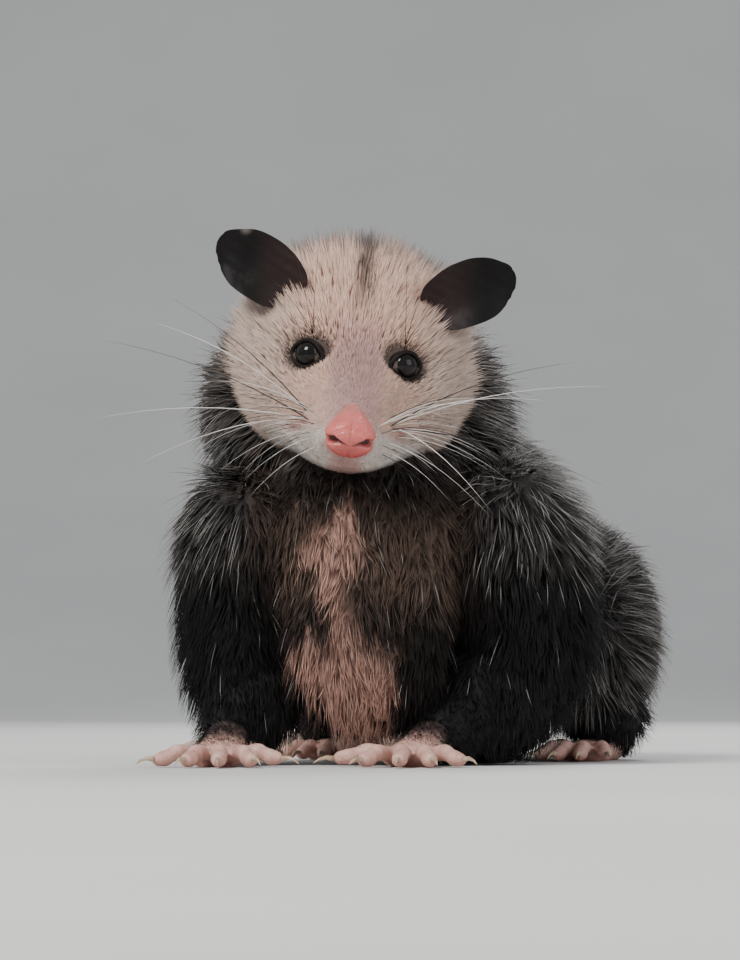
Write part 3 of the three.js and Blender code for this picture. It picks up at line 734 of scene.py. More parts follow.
def breast_colours(points):
    x, z = points[:, 0] + 3 * waves(points, 30, 5), points[:, 2] + 3 * waves(points, 26, 6)
    colours = np.tile(BROWN, (len(points), 1))
    colours = mix(colours, BLACK_COAT, 0.85 * smooth(101, 114, z))
    colours = mix(colours, BLACK_COAT, 0.93 * (1 - smooth(56, 82, z)))
    colours = mix(colours, DARK_COAT, 0.6 * smooth(30, 46, np.abs(x)))
    diamond = 1 - smooth(0.7, 1.1, np.abs(x + 13) / 13 + np.abs(z - 88) / 27)
    middle = np.interp(z, [8, 50], [2, -13])
    reach = np.interp(z, [8, 50], [11, 21])
    patch = (1 - smooth(0.75, 1.1, np.abs(x - middle) / reach)) * smooth(2, 10, z) * (1 - smooth(49, 56, z))
    stem = (1 - smooth(2.5, 6, np.abs(x + 10))) * smooth(48, 54, z) * (1 - smooth(66, 74, z))
    return mix(colours, PINK, np.maximum(np.maximum(diamond, patch), 0.85 * stem))


# Black limbs turn brown up the inside of the shoulders, and grey up the outside
def limb_colours(points):
    colours = np.tile(BLACK_COAT, (len(points), 1))
    high = smooth(74, 108, points[:, 2] + 4 * waves(points, 30, 8))
    inner = 1 - smooth(36, 56, np.abs(points[:, 0] + 3) + 4 * waves(points, 24, 9))
    colours = mix(colours, BROWN * 0.8, 0.85 * high * inner)
    return mix(colours, DARK_COAT * 1.2, 0.9 * high * (1 - inner))


# How much of the coat bears pale guard hairs
def frost_of(points, weights):
    kinds = np.array(PART_COATS)
    outer = smooth(38, 58, np.abs(points[:, 0] + 3)) * smooth(72, 108, points[:, 2])
    return 0.95 * ((kinds == "coat") @ weights.T) + 0.8 * outer * ((kinds == "black") @ weights.T)


HEAD_PART = (None, None, "face", 6, 10)
PARTS = body_parts(1.0)
PART_NAMES = ["head", *PARTS]
_, PART_LIES, PART_COATS, hair_lengths, guard_lengths = zip(HEAD_PART, *PARTS.values())
PART_LENGTHS = {"hair": array(hair_lengths), "guard": array(guard_lengths)}


def markings(points, weights):
    colours = np.zeros((len(points), 3))
    own = {"face": face_colours(points), "chest": breast_colours(points), "black": limb_colours(points)}
    own["coat"] = np.tile(DARK_COAT, (len(points), 1))
    for i, name in enumerate(PART_COATS):
        colours += weights[:, i : i + 1] * own[name]
    return colours


# How hair lies: from the nose over the face, back and down over the body, in soft waves
def lie_of(points, normals, weights):
    face = unit(points - NOSE_TIP + array([0, 6, -4]))
    ways = weights[:, :1] * face
    for i, lie in enumerate(PART_LIES):
        if lie is not None:
            ways = ways + weights[:, i : i + 1] * unit(array(lie))
    body = 1 - weights[:, :1]
    stir = np.stack([waves(points, 34, 11), waves(points, 34, 12), waves(points, 30, 13)], axis=1)
    fine = np.stack([waves(points, 9, 14), waves(points, 9, 15), waves(points, 9, 16)], axis=1)
    ways = ways + body * 0.22 * stir + (0.05 + 0.14 * body) * fine + rng.normal(0, 0.09, points.shape)
    return unit(ways - normals * (ways * normals).sum(axis=1, keepdims=True))


# Meshes from arrays
def mesh_of(name, points, triangles):
    mesh = bpy.data.meshes.new(name)
    mesh.vertices.add(len(points))
    mesh.vertices.foreach_set("co", np.ascontiguousarray(points, dtype=float).ravel())
    mesh.loops.add(triangles.size)
    mesh.loops.foreach_set("vertex_index", triangles.ravel().astype(np.int32))
    mesh.polygons.add(len(triangles))
    mesh.polygons.foreach_set("loop_start", np.arange(0, triangles.size, 3, dtype=np.int32))
    mesh.update(calc_edges=True)
    mesh.validate()
    piece = bpy.data.objects.new(name, mesh)
    bpy.context.scene.collection.objects.link(piece)
    return piece


def ring_triangles(sides, levels):
    rows = [(0, k + 2, k + 1) for k in range(sides - 2)]
    for i in range(levels - 1):
        for k in range(sides):
            a, b = i * sides + k, i * sides + (k + 1) % sides
            rows += [(a, b, b + sides), (a, b + sides, a + sides)]
    tip = levels * sides
    rows += [(tip - sides + k, tip - sides + (k + 1) % sides, tip) for k in range(sides)]
    return np.array(rows)


BAKE_PATCH = 0.003
HAIR_SIDES = 3
SINK = 1.2  # of a root under the skin
HAIR_FLOOR = 0.7  # no hair reaches lower
PIECE_TRIANGLES = 190000


# One joined piece of hairs: each is a thin closed blade from its root to its tip
def hair_piece(name, look, hairs, levels):
    roots, normals, ways = hairs["root"], hairs["normal"], hairs["way"]
    sides = np.cross(normals, ways)
    steps = np.linspace(0, 1, levels + 1)
    count = len(roots)
    rise, run = np.sin(hairs["lift"]), np.cos(hairs["lift"])
    points = np.zeros((count, HAIR_SIDES * levels + 1, 3))
    tints = np.zeros_like(points)
    uvs = np.zeros((count, HAIR_SIDES * levels + 1, 2))
    for i, s in enumerate(steps):
        height = (hairs["length"] * rise * (1.4 * s - 0.4 * s * s) - SINK * (1 - s))[:, None]
        centre = roots + normals * height + ways * (hairs["length"] * run * s)[:, None]
        centre = centre + hairs["gather"] * s * s
        tint = hairs["dark"] + (hairs["tint"] - hairs["dark"]) * smooth(0.05, 0.75, s)
        tint = tint + (hairs["tip"] - tint) * smooth(0.45, 1.0, s)
        if i == levels:
            points[:, -1] = centre
            tints[:, -1] = tint
            uvs[:, -1] = hairs["uv"] + [BAKE_PATCH / 2, BAKE_PATCH]
            continue
        half = (0.5 * hairs["width"] * (1 - s**1.6) ** 0.8 * (0.8 if i == 0 else 1))[:, None]
        for k in range(HAIR_SIDES):
            angle = math.pi / 2 + 2 * math.pi * k / HAIR_SIDES
            spoke = sides * math.cos(angle) + normals * (math.sin(angle) * hairs["flat"][:, None])
            points[:, i * HAIR_SIDES + k] = centre + spoke * half
            tints[:, i * HAIR_SIDES + k] = tint
            uvs[:, i * HAIR_SIDES + k] = hairs["uv"] + [BAKE_PATCH * k / 2, BAKE_PATCH * s]
    points[:, :, 2] = np.maximum(points[:, :, 2], HAIR_FLOOR)
    pattern = ring_triangles(HAIR_SIDES, levels)
    triangles = (pattern[None] + (np.arange(count) * points.shape[1])[:, None, None]).reshape(-1, 3)
    piece = mesh_of(name, points.reshape(-1, 3), triangles)
    paint(piece, tints.reshape(-1, 3))
    layer = piece.data.uv_layers.new(name="OFBake")
    layer.data.foreach_set("uv", np.clip(uvs.reshape(-1, 2)[triangles.ravel()], 0, 1).ravel())
    return finish(piece, look)


def surface(piece):
    mesh = piece.data
    mesh.calc_loop_triangles()
    corners = np.empty(len(mesh.loop_triangles) * 3, dtype=np.int32)
    mesh.loop_triangles.foreach_get("vertices", corners)
    return get_points(piece)[corners].reshape(-1, 3, 3)


def outside(points, piece):
    mesh = piece.data
    tree = BVHTree.FromPolygons([v.co for v in mesh.vertices], [tuple(f.vertices) for f in mesh.polygons])
    found = []
    for p in points:
        near, normal, _, _ = tree.find_nearest(p)
        found.append((Vector(p) - near).dot(normal) > -0.5)
    return np.array(found)


def scatter(corners, weight, count):
    a, b, c = corners[:, 0], corners[:, 1], corners[:, 2]
    cross = np.cross(b - a, c - a)
    share = np.linalg.norm(cross, axis=1) * weight
    chosen = rng.choice(len(share), size=count, p=share / share.sum())
    u, v = rng.random(count), rng.random(count)
    over = u + v > 1
    u[over], v[over] = 1 - u[over], 1 - v[over]
    roots = a[chosen] + (b - a)[chosen] * u[:, None] + (c - a)[chosen] * v[:, None]
    return roots, unit(cross[chosen])


# Tips lean towards the tip of a leading hair nearby, which makes locks
def gathered(roots, tips, size):
    leaders = rng.choice(len(roots), max(1, len(roots) // size), replace=False)
    tree = KDTree(len(leaders))
    for i, leader in enumerate(leaders):
        tree.insert(roots[leader], i)
    tree.balance()
    nearest = np.array([tree.find(root)[1] for root in roots])
    pull = tips[leaders[nearest]] - tips
    reach = np.linalg.norm(pull, axis=1, keepdims=True)
    return pull * np.minimum(1, 9 / np.maximum(reach, 1e-6))


def bake_place(part, along, around):
    column, row = part % 4, part // 4
    return np.stack([(column + 0.04 + 0.9 * along) / 4, (row + 0.04 + 0.9 * around) / 4], axis=1)


def spread(count, share):
    return 1 + share * rng.uniform(-1, 1, count)


LOCK_PULL = {"face": 0.3, "hair": 0.6, "guard": 0.35}
LOCK_SIZE = {"face": 14, "hair": 14, "guard": 8}
WRIST_SHORTER = 0.62


# Short on the muzzle and round the eyes, raised on cheeks and crown, and longer round the ears
def face_hairs(hairs, colours):
    head = to_head(hairs["root"])
    count = len(head)
    inset = np.interp(head[:, 1], [-43, -13, -3, 9, 24, 40], [1, 1.8, 2.4, 5, 9, 12])
    wide = smooth(18, 34, np.abs(head[:, 0]))
    crown = smooth(14, 32, head[:, 1]) * smooth(-2, 14, head[:, 2])
    ear = np.minimum(*[np.linalg.norm(head - [side * 32, 24, 15], axis=1) for side in SIDES.values()])
    fringe = 1 - smooth(8, 17, ear)
    length = np.interp(head[:, 1], [-42, -20, 0, 12, 26, 45], [2.8, 3.8, 5.6, 9, 14, 19]) * (1 + 0.3 * wide)
    length = length * (0.28 + 0.72 * smooth(7.5, 14, eye_distance(hairs["root"]))) * spread(count, 0.2)
    hairs["width"] = np.interp(head[:, 1], [-42, -10, 20], [0.27, 0.36, 0.6]) * spread(count, 0.25)
    hairs["length"] = length * (1 + 0.25 * fringe)
    lift = np.arcsin(np.clip(inset / hairs["length"], 0.2, 0.75)) + 0.38 * wide + 0.28 * crown
    hairs["lift"] = np.minimum(lift * spread(count, 0.28), 1.25)
    hairs["flat"] = np.full(count, 0.5)
    hairs["dark"] = colours * 0.8
    hairs["tip"] = np.minimum(colours * 1.2, 0.9)
    return colours


# Broad flat tufts, frosted at their tips
def tufts(hairs, colours, frost, depth):
    length = hairs["length"]
    count = len(length)
    hairs["width"] = np.interp(length, [6, 18], [0.7, 1.35]) * spread(count, 0.3)
    hairs["lift"] = np.arcsin(np.clip(0.95 * depth / length, 0.18, 0.7))
    hairs["flat"] = np.full(count, 0.35)
    pale = (0.24 + 0.4 * rng.random(count)) * frost * (0.6 + 0.4 * waves(hairs["root"], 40, 21))
    hairs["tip"] = mix(colours * 1.15, TUFT_TIP, pale)
    return colours


# Long thin hairs past the tufts, many of them white where the coat is frosted
def guard_hairs(hairs, colours, frost, depth):
    length = hairs["length"]
    count = len(length)
    hairs["width"] = 0.42 * spread(count, 0.3)
    hairs["lift"] = np.arcsin(np.clip((1.15 * depth + 2) / length, 0.22, 0.72))
    hairs["flat"] = np.full(count, 0.6)
    pale = (rng.random(count) < 0.035 + 0.7 * frost) * rng.uniform(0.5, 1, count)
    colours = mix(colours, GUARD_GREY, 0.75 * pale)
    hairs["tip"] = mix(colours, GUARD_WHITE, 0.8 * pale)
    return colours


def hairs_at(roots, normals, forms, kind):
    count = len(roots)
    _, along, around, weights = survey(roots, forms)
    weights = head_only(weights) if kind == "face" else with_breast(roots, weights)
    part = weights.argmax(axis=1)
    along, around = along[np.arange(count), part], around[np.arange(count), part]
    ways = lie_of(roots, normals, weights)
    colours = markings(roots + rng.normal(0, 0.9, roots.shape), weights)
    hairs = {"root": roots, "normal": normals, "way": ways, "part": part}
    if kind == "face":
        colours = face_hairs(hairs, colours)
    else:
        depth = (1 - SKIN_SHARE) / SKIN_SHARE * array([form.rows[:, 3:5].mean() for form in forms])[part]
        wrist = np.array(["fore" in name for name in PART_NAMES])[part] & (along > 0.6)
        length = PART_LENGTHS[kind] @ weights.T
        hairs["length"] = length * np.where(wrist, WRIST_SHORTER, 1) * spread(count, 0.22)
        shaped = tufts if kind == "hair" else guard_hairs
        colours = shaped(hairs, colours, frost_of(roots, weights), depth)
        hairs["dark"] = colours * 0.4
    hairs["tint"] = colours * spread(count, 0.22)[:, None]
    tips = roots + ways * (hairs["length"] * np.cos(hairs["lift"]))[:, None]
    hairs["gather"] = LOCK_PULL[kind] * gathered(roots, tips, LOCK_SIZE[kind])
    hairs["uv"] = bake_place(part, along, around)
    return hairs


def grown(name, look, hairs, levels):
    per_hair = len(ring_triangles(HAIR_SIDES, levels))
    owner = np.array(PART_COATS)[hairs["part"]]
    for kind in sorted(set(owner)):
        chosen = np.flatnonzero(owner == kind)
        pieces = math.ceil(len(chosen) * per_hair / PIECE_TRIANGLES)
        for i, some in enumerate(np.array_split(chosen, pieces)):
            picked = {key: values[some] for key, values in hairs.items()}
            hair_piece(f"{name}_{kind}_{i + 1}", look, picked, levels)


FACE_HAIRS = 50000
BODY_HAIRS = 39500
GUARD_HAIRS = 21500
EYE_CLEAR = 7.55  # no hair grows nearer to the middle of an eye


def coat(body, head):
    look = fur_material()
    forms = skin_forms()
    faces = surface(head)
    middles = faces.mean(axis=1)
    off_nose = survey(middles, [head_form(NOSE)])[0][:, 0] > 1.02
    weight = outside(middles, body) * (eye_distance(middles) > EYE_CLEAR) * off_nose
    weight = weight * (mouth_distance(middles) > 0.7)
    weight = weight * np.interp(to_head(middles)[:, 1], [-40, 0, 30, 50], [2.2, 1.3, 0.8, 0.5])
    grown("fur", look, hairs_at(*scatter(faces, weight, FACE_HAIRS), forms, "face"), 2)
    sides = surface(body)
    middles = sides.mean(axis=1)
    weight = outside(middles, head) * (middles[:, 2] > 2.5)
    grown("fur", look, hairs_at(*scatter(sides, weight, BODY_HAIRS), forms, "hair"), 3)
    grown("guard", look, hairs_at(*scatter(sides, weight, GUARD_HAIRS), forms, "guard"), 3)


def dress_skin(body, head):
    points = get_points(body)
    weights = survey(points, skin_forms())[3]
    paint(body, markings(points, with_breast(points, weights)) * 0.8)
    points = get_points(head)
    colours = markings(points, head_only(np.zeros((len(points), len(PART_NAMES))))) * 0.8
    lips = 1 - smooth(0.8, 2.6, mouth_distance(points))
    paint(head, mix(colours, LIP_SKIN, 0.75 * lips))
    nodes = ["head", "neck", "chest", "belly", "rump"]
    for name in SIDES:
        nodes += [f"upper_arm_{name}", f"forearm_{name}", f"thigh_{name}", f"shank_{name}"]
    return finish(joined([body, head], "skin"), skin_material(), nodes)


# Eyes and lids
def eyes():
    look = eye_material()
    for name in SIDES:
        deselect()
        bpy.ops.mesh.primitive_uv_sphere_add(segments=64, ring_count=40, radius=EYE_RADIUS)
        eye = bpy.context.object
        eye.name = eye.data.name = f"eyeball_{name}"
        set_points(eye, get_points(eye) + EYES[name])
        finish(eye, look, [f"eye_{name}"])


LID_RADIUS, LID_THICKNESS = 5.75, 0.95
LID_AHEAD, LID_RIPPLE = 3.2, 0.0525


# Rims with a drawn-out inner corner
def eyelids():
    look = lid_material()
    for name, side in SIDES.items():
        deselect()
        bpy.ops.mesh.primitive_torus_add(
            major_segments=96, minor_segments=20, major_radius=LID_RADIUS, minor_radius=LID_THICKNESS
        )
        lid = bpy.context.object
        lid.name = lid.data.name = f"eyelid_{name}"
        ring = get_points(lid)
        angle = np.arctan2(ring[:, 1], ring[:, 0])
        inner = np.exp(-(((np.abs(angle) - math.pi) / 0.42) ** 2))
        outer = np.exp(-((angle / 0.5) ** 2))
        ring[:, 0] += 0.9 * outer - 1.5 * inner
        ring[:, 1] = 0.95 * ring[:, 1] - 0.9 * inner + 0.5 * outer
        ring[:, 2] += LID_RIPPLE * np.sin(angle * 7 + 1) + LID_AHEAD - 0.9 * inner - 0.5 * outer
        way = EYE_WAYS[name]
        across = unit(HEAD_AXES[:, 0] * side - way * (HEAD_AXES[:, 0] * side @ way))
        rise = np.cross(way, across) * side
        set_points(lid, EYES[name] + ring @ np.stack([across, rise, way]))
        if side < 0:
            lid.data.flip_normals()
        finish(lid, look)


# The nose: a moist wedge with side nostrils and a groove down its middle
NOSE_WIDTH = 1.1
NOSTRIL_LINE = array([[10.2, -47.5, -14.8], [8.6, -50.5, -13.8], [6.3, -53.8, -13.0]])
NOSE_MIDDLE = array([0, -46, -12.5])
NOSE_RED = array([0.66, 0.15, 0.13])
NOSE_TOP = array([0.50, 0.17, 0.145])
NOSE_UNDER_SHADE = array([0.46, 0.07, 0.07])
NOSTRIL_SHADE = array([0.03, 0.008, 0.008])


def nose():
    piece = lofted("nose_pad", head_form(NOSE, caps=(0.6, 0.35)), 140, 110)
    points = get_points(piece)
    local = to_head(points)
    hollow = np.zeros(len(local))
    for side in SIDES.values():
        line = NOSTRIL_LINE * [side, 1, 1]
        path = np.stack([np.interp(np.linspace(0, 2, 24), [0, 1, 2], line[:, i]) for i in range(3)], axis=1)
        hollow = np.maximum(hollow, 1 - smooth(0.7, 2.3, distance_to(local, path)))
    local = local + unit(NOSE_MIDDLE - local) * (3.0 * hollow)[:, None]
    groove = np.exp(-((local[:, 0] / 0.7) ** 2)) * (local[:, 1] < -50)
    local[:, 1] += 0.5 * groove
    local[:, 0] *= NOSE_WIDTH
    set_points(piece, in_head(local))
    colours = np.tile(NOSE_RED, (len(local), 1))
    colours = mix(colours, NOSE_TOP, smooth(-46, -40, local[:, 1]))
    # Painted shade: the underside of the nose is darkened.
    colours = mix(colours, NOSE_UNDER_SHADE, 0.8 * smooth(-15, -20, local[:, 2]))
    # Painted shade: the nostril hollows, and faintly the middle groove, are darkened.
    colours = mix(colours, NOSTRIL_SHADE, np.maximum(hollow, 0.2 * groove))
    paint(piece, colours)
    finish(piece, nose_material(), ["nose"])


EAR_HIGHLIGHT_AT = array([-50, 216.8])  # a painted highlight, a pale spot on the right ear's upper edge, seen from the front
EAR_BLACK = array([0.007, 0.006, 0.006])
EAR_ROOT = array([0.10, 0.06, 0.055])
EAR_HIGHLIGHT = array([0.20, 0.17, 0.15])


def ears():
    look = ear_material()
    for name, side in SIDES.items():
        up = unit(array([-side * 0.05, -1, 0.25]))
        ear = lofted(f"ear_leather_{name}", head_form(ear_stations(side), up=up, caps=(0.8, 0.8)), 96, 64)
        points = get_points(ear)
        points += (0.25 * waves(points, 11, 31))[:, None] * HEAD_AXES[:, 1]
        set_points(ear, points)
        local = to_head(points)
        colours = np.tile(EAR_BLACK, (len(points), 1))
        colours = mix(colours, EAR_ROOT, 0.3 * (1 - smooth(28, 50, side * local[:, 0])))
        # Painted highlight: a pale spot on the right ear's edge, where light catches it.
        highlight = 1 - smooth(0.8, 3.4, np.linalg.norm(points[:, [0, 2]] - EAR_HIGHLIGHT_AT, axis=1))
        paint(ear, mix(colours, EAR_HIGHLIGHT, 0.6 * highlight))
        finish(ear, look, [f"ear_{name}"])


# Hands and feet
# Places along a digit, their share of its arch, and their width
DIGIT_SHAPE = [
    (0, 0, 1.0),
    (0.25, 0.72, 0.86),
    (0.5, 1, 1.0),
    (0.66, 0.62, 0.84),
    (0.8, 0.2, 0.95),
    (1, 0, 0.74),
]
DIGIT_ARCH = FINGER_RADIUS * 1.7 - 3.5


def digit(line, turned):
    a, b = array(line[0]), array(line[1])
    rows = []
    for s, arch, width in DIGIT_SHAPE:
        p = a + (b - a) * s
        p[2] += arch * DIGIT_ARCH
        rows.append([*turned(p), FINGER_RADIUS * width])
    return Form(rows, caps=(0.6, 0.9))


def straight(p):
    return p


def footing(side):
    return lambda p: in_pelvis([side * p[0], p[1], p[2]])


PAWS = ["hand_left", "hand_right", "foot_left", "foot_right"]
PAW_HAIRS = 1300
PAW_VOXEL = 0.75
FIRST_PAW_PATCH = 12  # of the 16 on the bake map, after those of the body's parts
PAW_PINK = array([0.60, 0.34, 0.28])
PAW_PALE = array([0.72, 0.46, 0.38])
PAW_UNDER = array([0.46, 0.20, 0.17])
WRIST_DARK = array([0.06, 0.04, 0.038])


def paw(name, forms, wrist):
    pieces = [lofted(f"{name}_{i}", form, 28, 24) for i, form in enumerate(forms)]
    piece = fused(pieces, f"skin_{name}", PAW_VOXEL, 3)
    points = get_points(piece)
    points[:, 2] = np.maximum(points[:, 2], 0.15)
    set_points(piece, points)
    away = np.linalg.norm(points - wrist, axis=1)
    colours = np.tile(PAW_PINK, (len(points), 1))
    colours = mix(colours, PAW_PALE, 0.5 + 0.5 * waves(points, 9, 41))
    colours = mix(colours, PAW_UNDER, 0.6 * (1 - smooth(1, 4, points[:, 2])))
    colours = mix(colours, WRIST_DARK, 1 - smooth(8, 20, away))
    paint(piece, colours)
    return piece


# Short hair thins out over the wrists and ankles
def paw_hair(look, piece, wrist, name):
    faces = surface(piece)
    middles = faces.mean(axis=1)
    away = np.linalg.norm(middles - wrist, axis=1)
    weight = (1 - smooth(12, 34, away)) * (middles[:, 2] > 3)
    roots, normals = scatter(faces, weight, PAW_HAIRS)
    count = len(roots)
    ways = unit(roots - wrist + array([0, -4, -2])) + rng.normal(0, 0.15, roots.shape)
    ways = unit(ways - normals * (ways * normals).sum(axis=1, keepdims=True))
    away = np.linalg.norm(roots - wrist, axis=1)
    far = smooth(10, 30, away)
    colours = mix(np.tile(BLACK_COAT, (count, 1)), ANKLE_HAIR, far)
    hairs = {"root": roots, "normal": normals, "way": ways}
    hairs["length"] = (5.5 - 3.3 * far) * spread(count, 0.2)
    hairs["width"] = (0.42 - 0.2 * far) * spread(count, 0.2)
    hairs["lift"] = np.full(count, 0.35)
    hairs["flat"] = np.full(count, 0.5)
    hairs["dark"], hairs["tint"], hairs["tip"] = colours * 0.7, colours, colours * 1.2
    hairs["gather"] = np.zeros((count, 3))
    around = np.arctan2(normals[:, 0], normals[:, 2]) / 6.3 + 0.5
    hairs["uv"] = bake_place(FIRST_PAW_PATCH + PAWS.index(name), np.clip(away / 40, 0, 1), around)
    hair_piece(f"hair_{name}", look, hairs, 2)


def paws():
    look = hand_material()
    hair_look = fur_material()
    for name, side in SIDES.items():
        arm = ARMS[name]
        digits = [digit(line, straight) for line in arm["fingers"]]
        wrist = array(arm["palm"][0][:3])
        hand = paw(f"hand_{name}", [Form(arm["palm"]), *digits], wrist)
        paw_hair(hair_look, hand, wrist, f"hand_{name}")
        finish(hand, look, [f"hand_{name}"])
        toes = [digit(line, footing(side)) for line in TOES]
        ankle = in_pelvis([side * 60, -10, 9])
        foot = paw(f"foot_{name}", [pelvis_form(SOLE, side), *toes], ankle)
        paw_hair(hair_look, foot, ankle, f"foot_{name}")
        finish(foot, look, [f"foot_{name}"])


# Thin tubes along lines of points, joined into one piece
def tubes(name, lines, sides):
    all_points, all_triangles, all_tints = [], [], []
    start = 0
    for path, radii, tint in lines:
        tangents = unit(np.gradient(path, axis=0))
        across = unit(np.cross(tangents, UP + array([0.01, 0, 0])))
        rise = np.cross(across, tangents)
        rings = []
        for k in range(sides):
            angle = 2 * math.pi * k / sides
            rings.append(path + (across * math.cos(angle) + rise * math.sin(angle)) * radii[:, None])
        body = np.stack(rings[::-1], axis=1)[:-1].reshape(-1, 3)
        pattern = ring_triangles(sides, len(path) - 1)
        all_points += [body, path[-1:]]
        all_triangles.append(pattern + start)
        all_tints.append(np.tile(tint, (len(body) + 1, 1)))
        start += len(body) + 1
    piece = mesh_of(name, np.vstack(all_points), np.vstack(all_triangles))
    paint(piece, np.vstack(all_tints))
    return piece


CLAW_REACH = [0, 1, 2, 3, 4, 5, 6, 7, 8, 8.6]
CLAW_RADIUS = 1.15
CLAW_ARCH = [0, 3, 6, 8.6], [3.4, 3.8, 3.0, 1.3]  # reach and height above the floor
CLAW_HORN = array([0.6, 0.45, 0.32])


def claw_line(line, turned):
    a, b = array(line[0]), array(line[1])
    way = unit((b - a) * array([1, 1, 0]))
    rows = []
    for reach in CLAW_REACH:
        p = b + way * (FINGER_RADIUS * 0.75 - 1 + reach)
        p[2] = np.interp(reach, *CLAW_ARCH)
        rows.append(turned(p))
    radii = CLAW_RADIUS * (1 - array(CLAW_REACH) / 8.7) ** 0.7
    return array(rows), radii, CLAW_HORN


def claws():
    lines, nodes = [], []
    for name, side in SIDES.items():
        for i, line in enumerate(ARMS[name]["fingers"]):
            lines.append(claw_line(line, straight))
            nodes.append(f"claw_hand_{name}_{i + 1}")
        for i, line in enumerate(TOES[1:]):
            lines.append(claw_line(line, footing(side)))
            nodes.append(f"claw_foot_{name}_{i + 2}")
    finish(tubes("claws", lines, 12), claw_material(), nodes)


TAIL_BLACK = array([0.025, 0.02, 0.019])
TAIL_PALE = array([0.52, 0.37, 0.30])


# Black at the root and pale beyond
def tail():
    piece = lofted("tail_leather", Form(TAIL, caps=(0.5, 0.9)), 40, 260)
    points = get_points(piece)
    points[:, 2] = np.maximum(points[:, 2], 0.1)
    set_points(piece, points)
    _, spots, _, _ = survey(points, [Form(TAIL)])
    along = spots[:, 0] + 0.02 * waves(points, 16, 51)
    paint(piece, mix(np.tile(TAIL_BLACK, (len(points), 1)), TAIL_PALE, smooth(0.26, 0.4, along)))
    finish(piece, tail_material(), [f"tail_{i + 1}" for i in range(5)])


# Whiskers: where the longest tips are seen from the front, from the middle between the eyes
WHISKER_TIPS = {
    "left": [[90, -4, -1], [106, -2, -11], [80, -10, -18], [102, -12, -53], [54, -34, -64]],
    "right": [[-104, -4, 8], [-108, -8, -25], [-90, -16, -45], [-78, 2, 27], [-85, -2, 16]],
}
BROW_TIPS = {
    "left": [[2, -18, 47], [12, -14, 38], [22, -10, 30]],
    "right": [[4, -18, 45], [-6, -14, 40], [-16, -8, 30]],
}
SHORT_WHISKERS = 22
WHISKER_RADIUS, FINE_RADIUS = 0.3, 0.17
WHISKER_PALE = array([0.72, 0.68, 0.64])
WHISKER_DARK = array([0.02, 0.017, 0.016])


def hair_line(root, middle, end, radius, tint):
    s = np.linspace(0, 1, 10)[:, None]
    path = root * (1 - s) * (1 - 2 * s) + middle * 4 * s * (1 - s) + end * s * (2 * s - 1)
    return path, radius * (1 - 0.92 * s[:, 0]), tint


def whiskers():
    look = whisker_material()
    for name, side in SIDES.items():
        lines = []
        for i, tip in enumerate(WHISKER_TIPS[name]):
            root = in_head([side * (11.0 + 0.9 * i), -36 + 2 * i, -16 + 1.2 * (i % 3)])
            end = HEAD_AT + array(tip)
            middle = root + (end - root) * 0.48 + array([0, -9, 5])
            tint = WHISKER_PALE if i % 3 else WHISKER_DARK
            lines.append(hair_line(root, middle, end, WHISKER_RADIUS, tint))
        for i in range(SHORT_WHISKERS):
            row, column = i % 4, i // 4
            height = -21 + 3.0 * row + rng.uniform(-0.5, 0.5)
            root = in_head([side * (9.6 + 1.5 * column), -40 + 3.2 * column, height])
            reach = rng.uniform(22, 52)
            back = rng.uniform(-0.45, 0.25)
            rise = 0.35 * (row - 2) + rng.uniform(-0.15, 0.15)
            way = unit(array([side * (0.95 + 0.1 * column), back, rise]))
            end = root + way * reach + array([0, 3, -0.1 * reach])
            middle = root + way * reach * 0.5 + array([0, -0.06 * reach, 0.04 * reach])
            tint = WHISKER_DARK if rng.random() < 0.45 else WHISKER_PALE
            lines.append(hair_line(root, middle, end, FINE_RADIUS, tint))
        for tip in BROW_TIPS[name]:
            root = EYES[name] + HEAD_AXES @ array([0, 1.5, 8.5])
            end = EYES[name] + array(tip)
            middle = root + (end - root) * 0.45 + array([0, -6, 2])
            lines.append(hair_line(root, middle, end, FINE_RADIUS, WHISKER_DARK))
        finish(tubes(f"vibrissae_{name}", lines, 5), look, [f"whiskers_{name}"])


# Floor, light and camera, in metres but for the camera
FLOOR_FRONT, FLOOR_BACK, FLOOR_SIDE = -4, 2.2, 5
CURVE_RADIUS, WALL_TOP = 2, 4.5


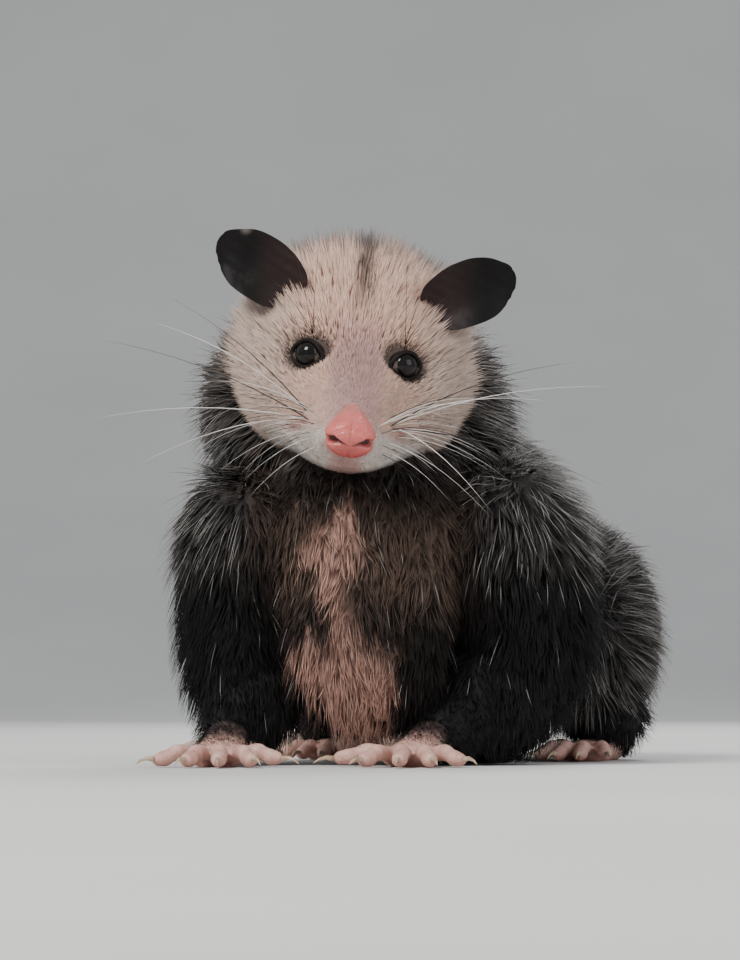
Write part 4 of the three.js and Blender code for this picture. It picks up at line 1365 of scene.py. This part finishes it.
def floor():
    profile = [[FLOOR_FRONT, 0], [FLOOR_BACK, 0]]
    for a in np.linspace(0.08, math.pi / 2, 20):
        profile.append([FLOOR_BACK + CURVE_RADIUS * math.sin(a), CURVE_RADIUS - CURVE_RADIUS * math.cos(a)])
    profile.append([FLOOR_BACK + CURVE_RADIUS, WALL_TOP])
    points = [[x, y, z] for y, z in profile for x in (-FLOOR_SIDE, FLOOR_SIDE)]
    faces = [[2 * i, 2 * i + 1, 2 * i + 3, 2 * i + 2] for i in range(len(profile) - 1)]
    mesh = bpy.data.meshes.new("studio_floor")
    mesh.from_pydata(points, [], faces)
    mesh.polygons.foreach_set("use_smooth", np.ones(len(faces), dtype=bool))
    mesh.update()
    piece = bpy.data.objects.new("studio_floor", mesh)
    bpy.context.scene.collection.objects.link(piece)
    made, tree, shader = material("studio", 0.9, specular=0.2)
    two_colours(tree, shader, noise(tree, 3), (0.64, 0.63, 0.61), (0.68, 0.67, 0.65))
    mesh.materials.append(made)


def aimed(item, place, target):
    item.location = place
    item.rotation_euler = (Vector(target) - Vector(place)).to_track_quat("-Z", "Y").to_euler()
    bpy.context.scene.collection.objects.link(item)
    return item


def lamp(name, place, size, power, colour=(1, 1, 1)):
    data = bpy.data.lights.new(name, "AREA")
    data.size = size
    data.energy = power
    data.color = colour
    aimed(bpy.data.objects.new(name, data), place, (0, 0, 0.1))


CAMERA_AT = array([0, -1500, 30])
CAMERA_AIM = array([0, -20, 114.5])
CAMERA_LENS = 138.75


def studio():
    floor()
    lamp("key", (-0.9, -1.3, 1.5), 0.7, 38, (1.0, 0.98, 0.95))
    lamp("fill", (1.4, -1.1, 0.8), 1.2, 9)
    lamp("rim", (0.5, 1.3, 1.4), 0.8, 22)
    world = bpy.data.worlds.new("studio")
    world.use_nodes = True
    world.node_tree.nodes["Background"].inputs["Color"].default_value = (0.80, 0.84, 0.90, 1)
    world.node_tree.nodes["Background"].inputs["Strength"].default_value = 0.62
    bpy.context.scene.world = world
    data = bpy.data.cameras.new("camera")
    data.lens = CAMERA_LENS
    data.sensor_width = 36
    data.clip_start = 0.05
    data.clip_end = 30
    place = to_frame(CAMERA_AT)
    camera = aimed(bpy.data.objects.new("camera", data), place, to_frame(CAMERA_AIM))
    bpy.context.scene.camera = camera


body, head = body_skin()
coat(body, head)
dress_skin(body, head)
eyes()
eyelids()
nose()
ears()
paws()
claws()
tail()
whiskers()
studio()
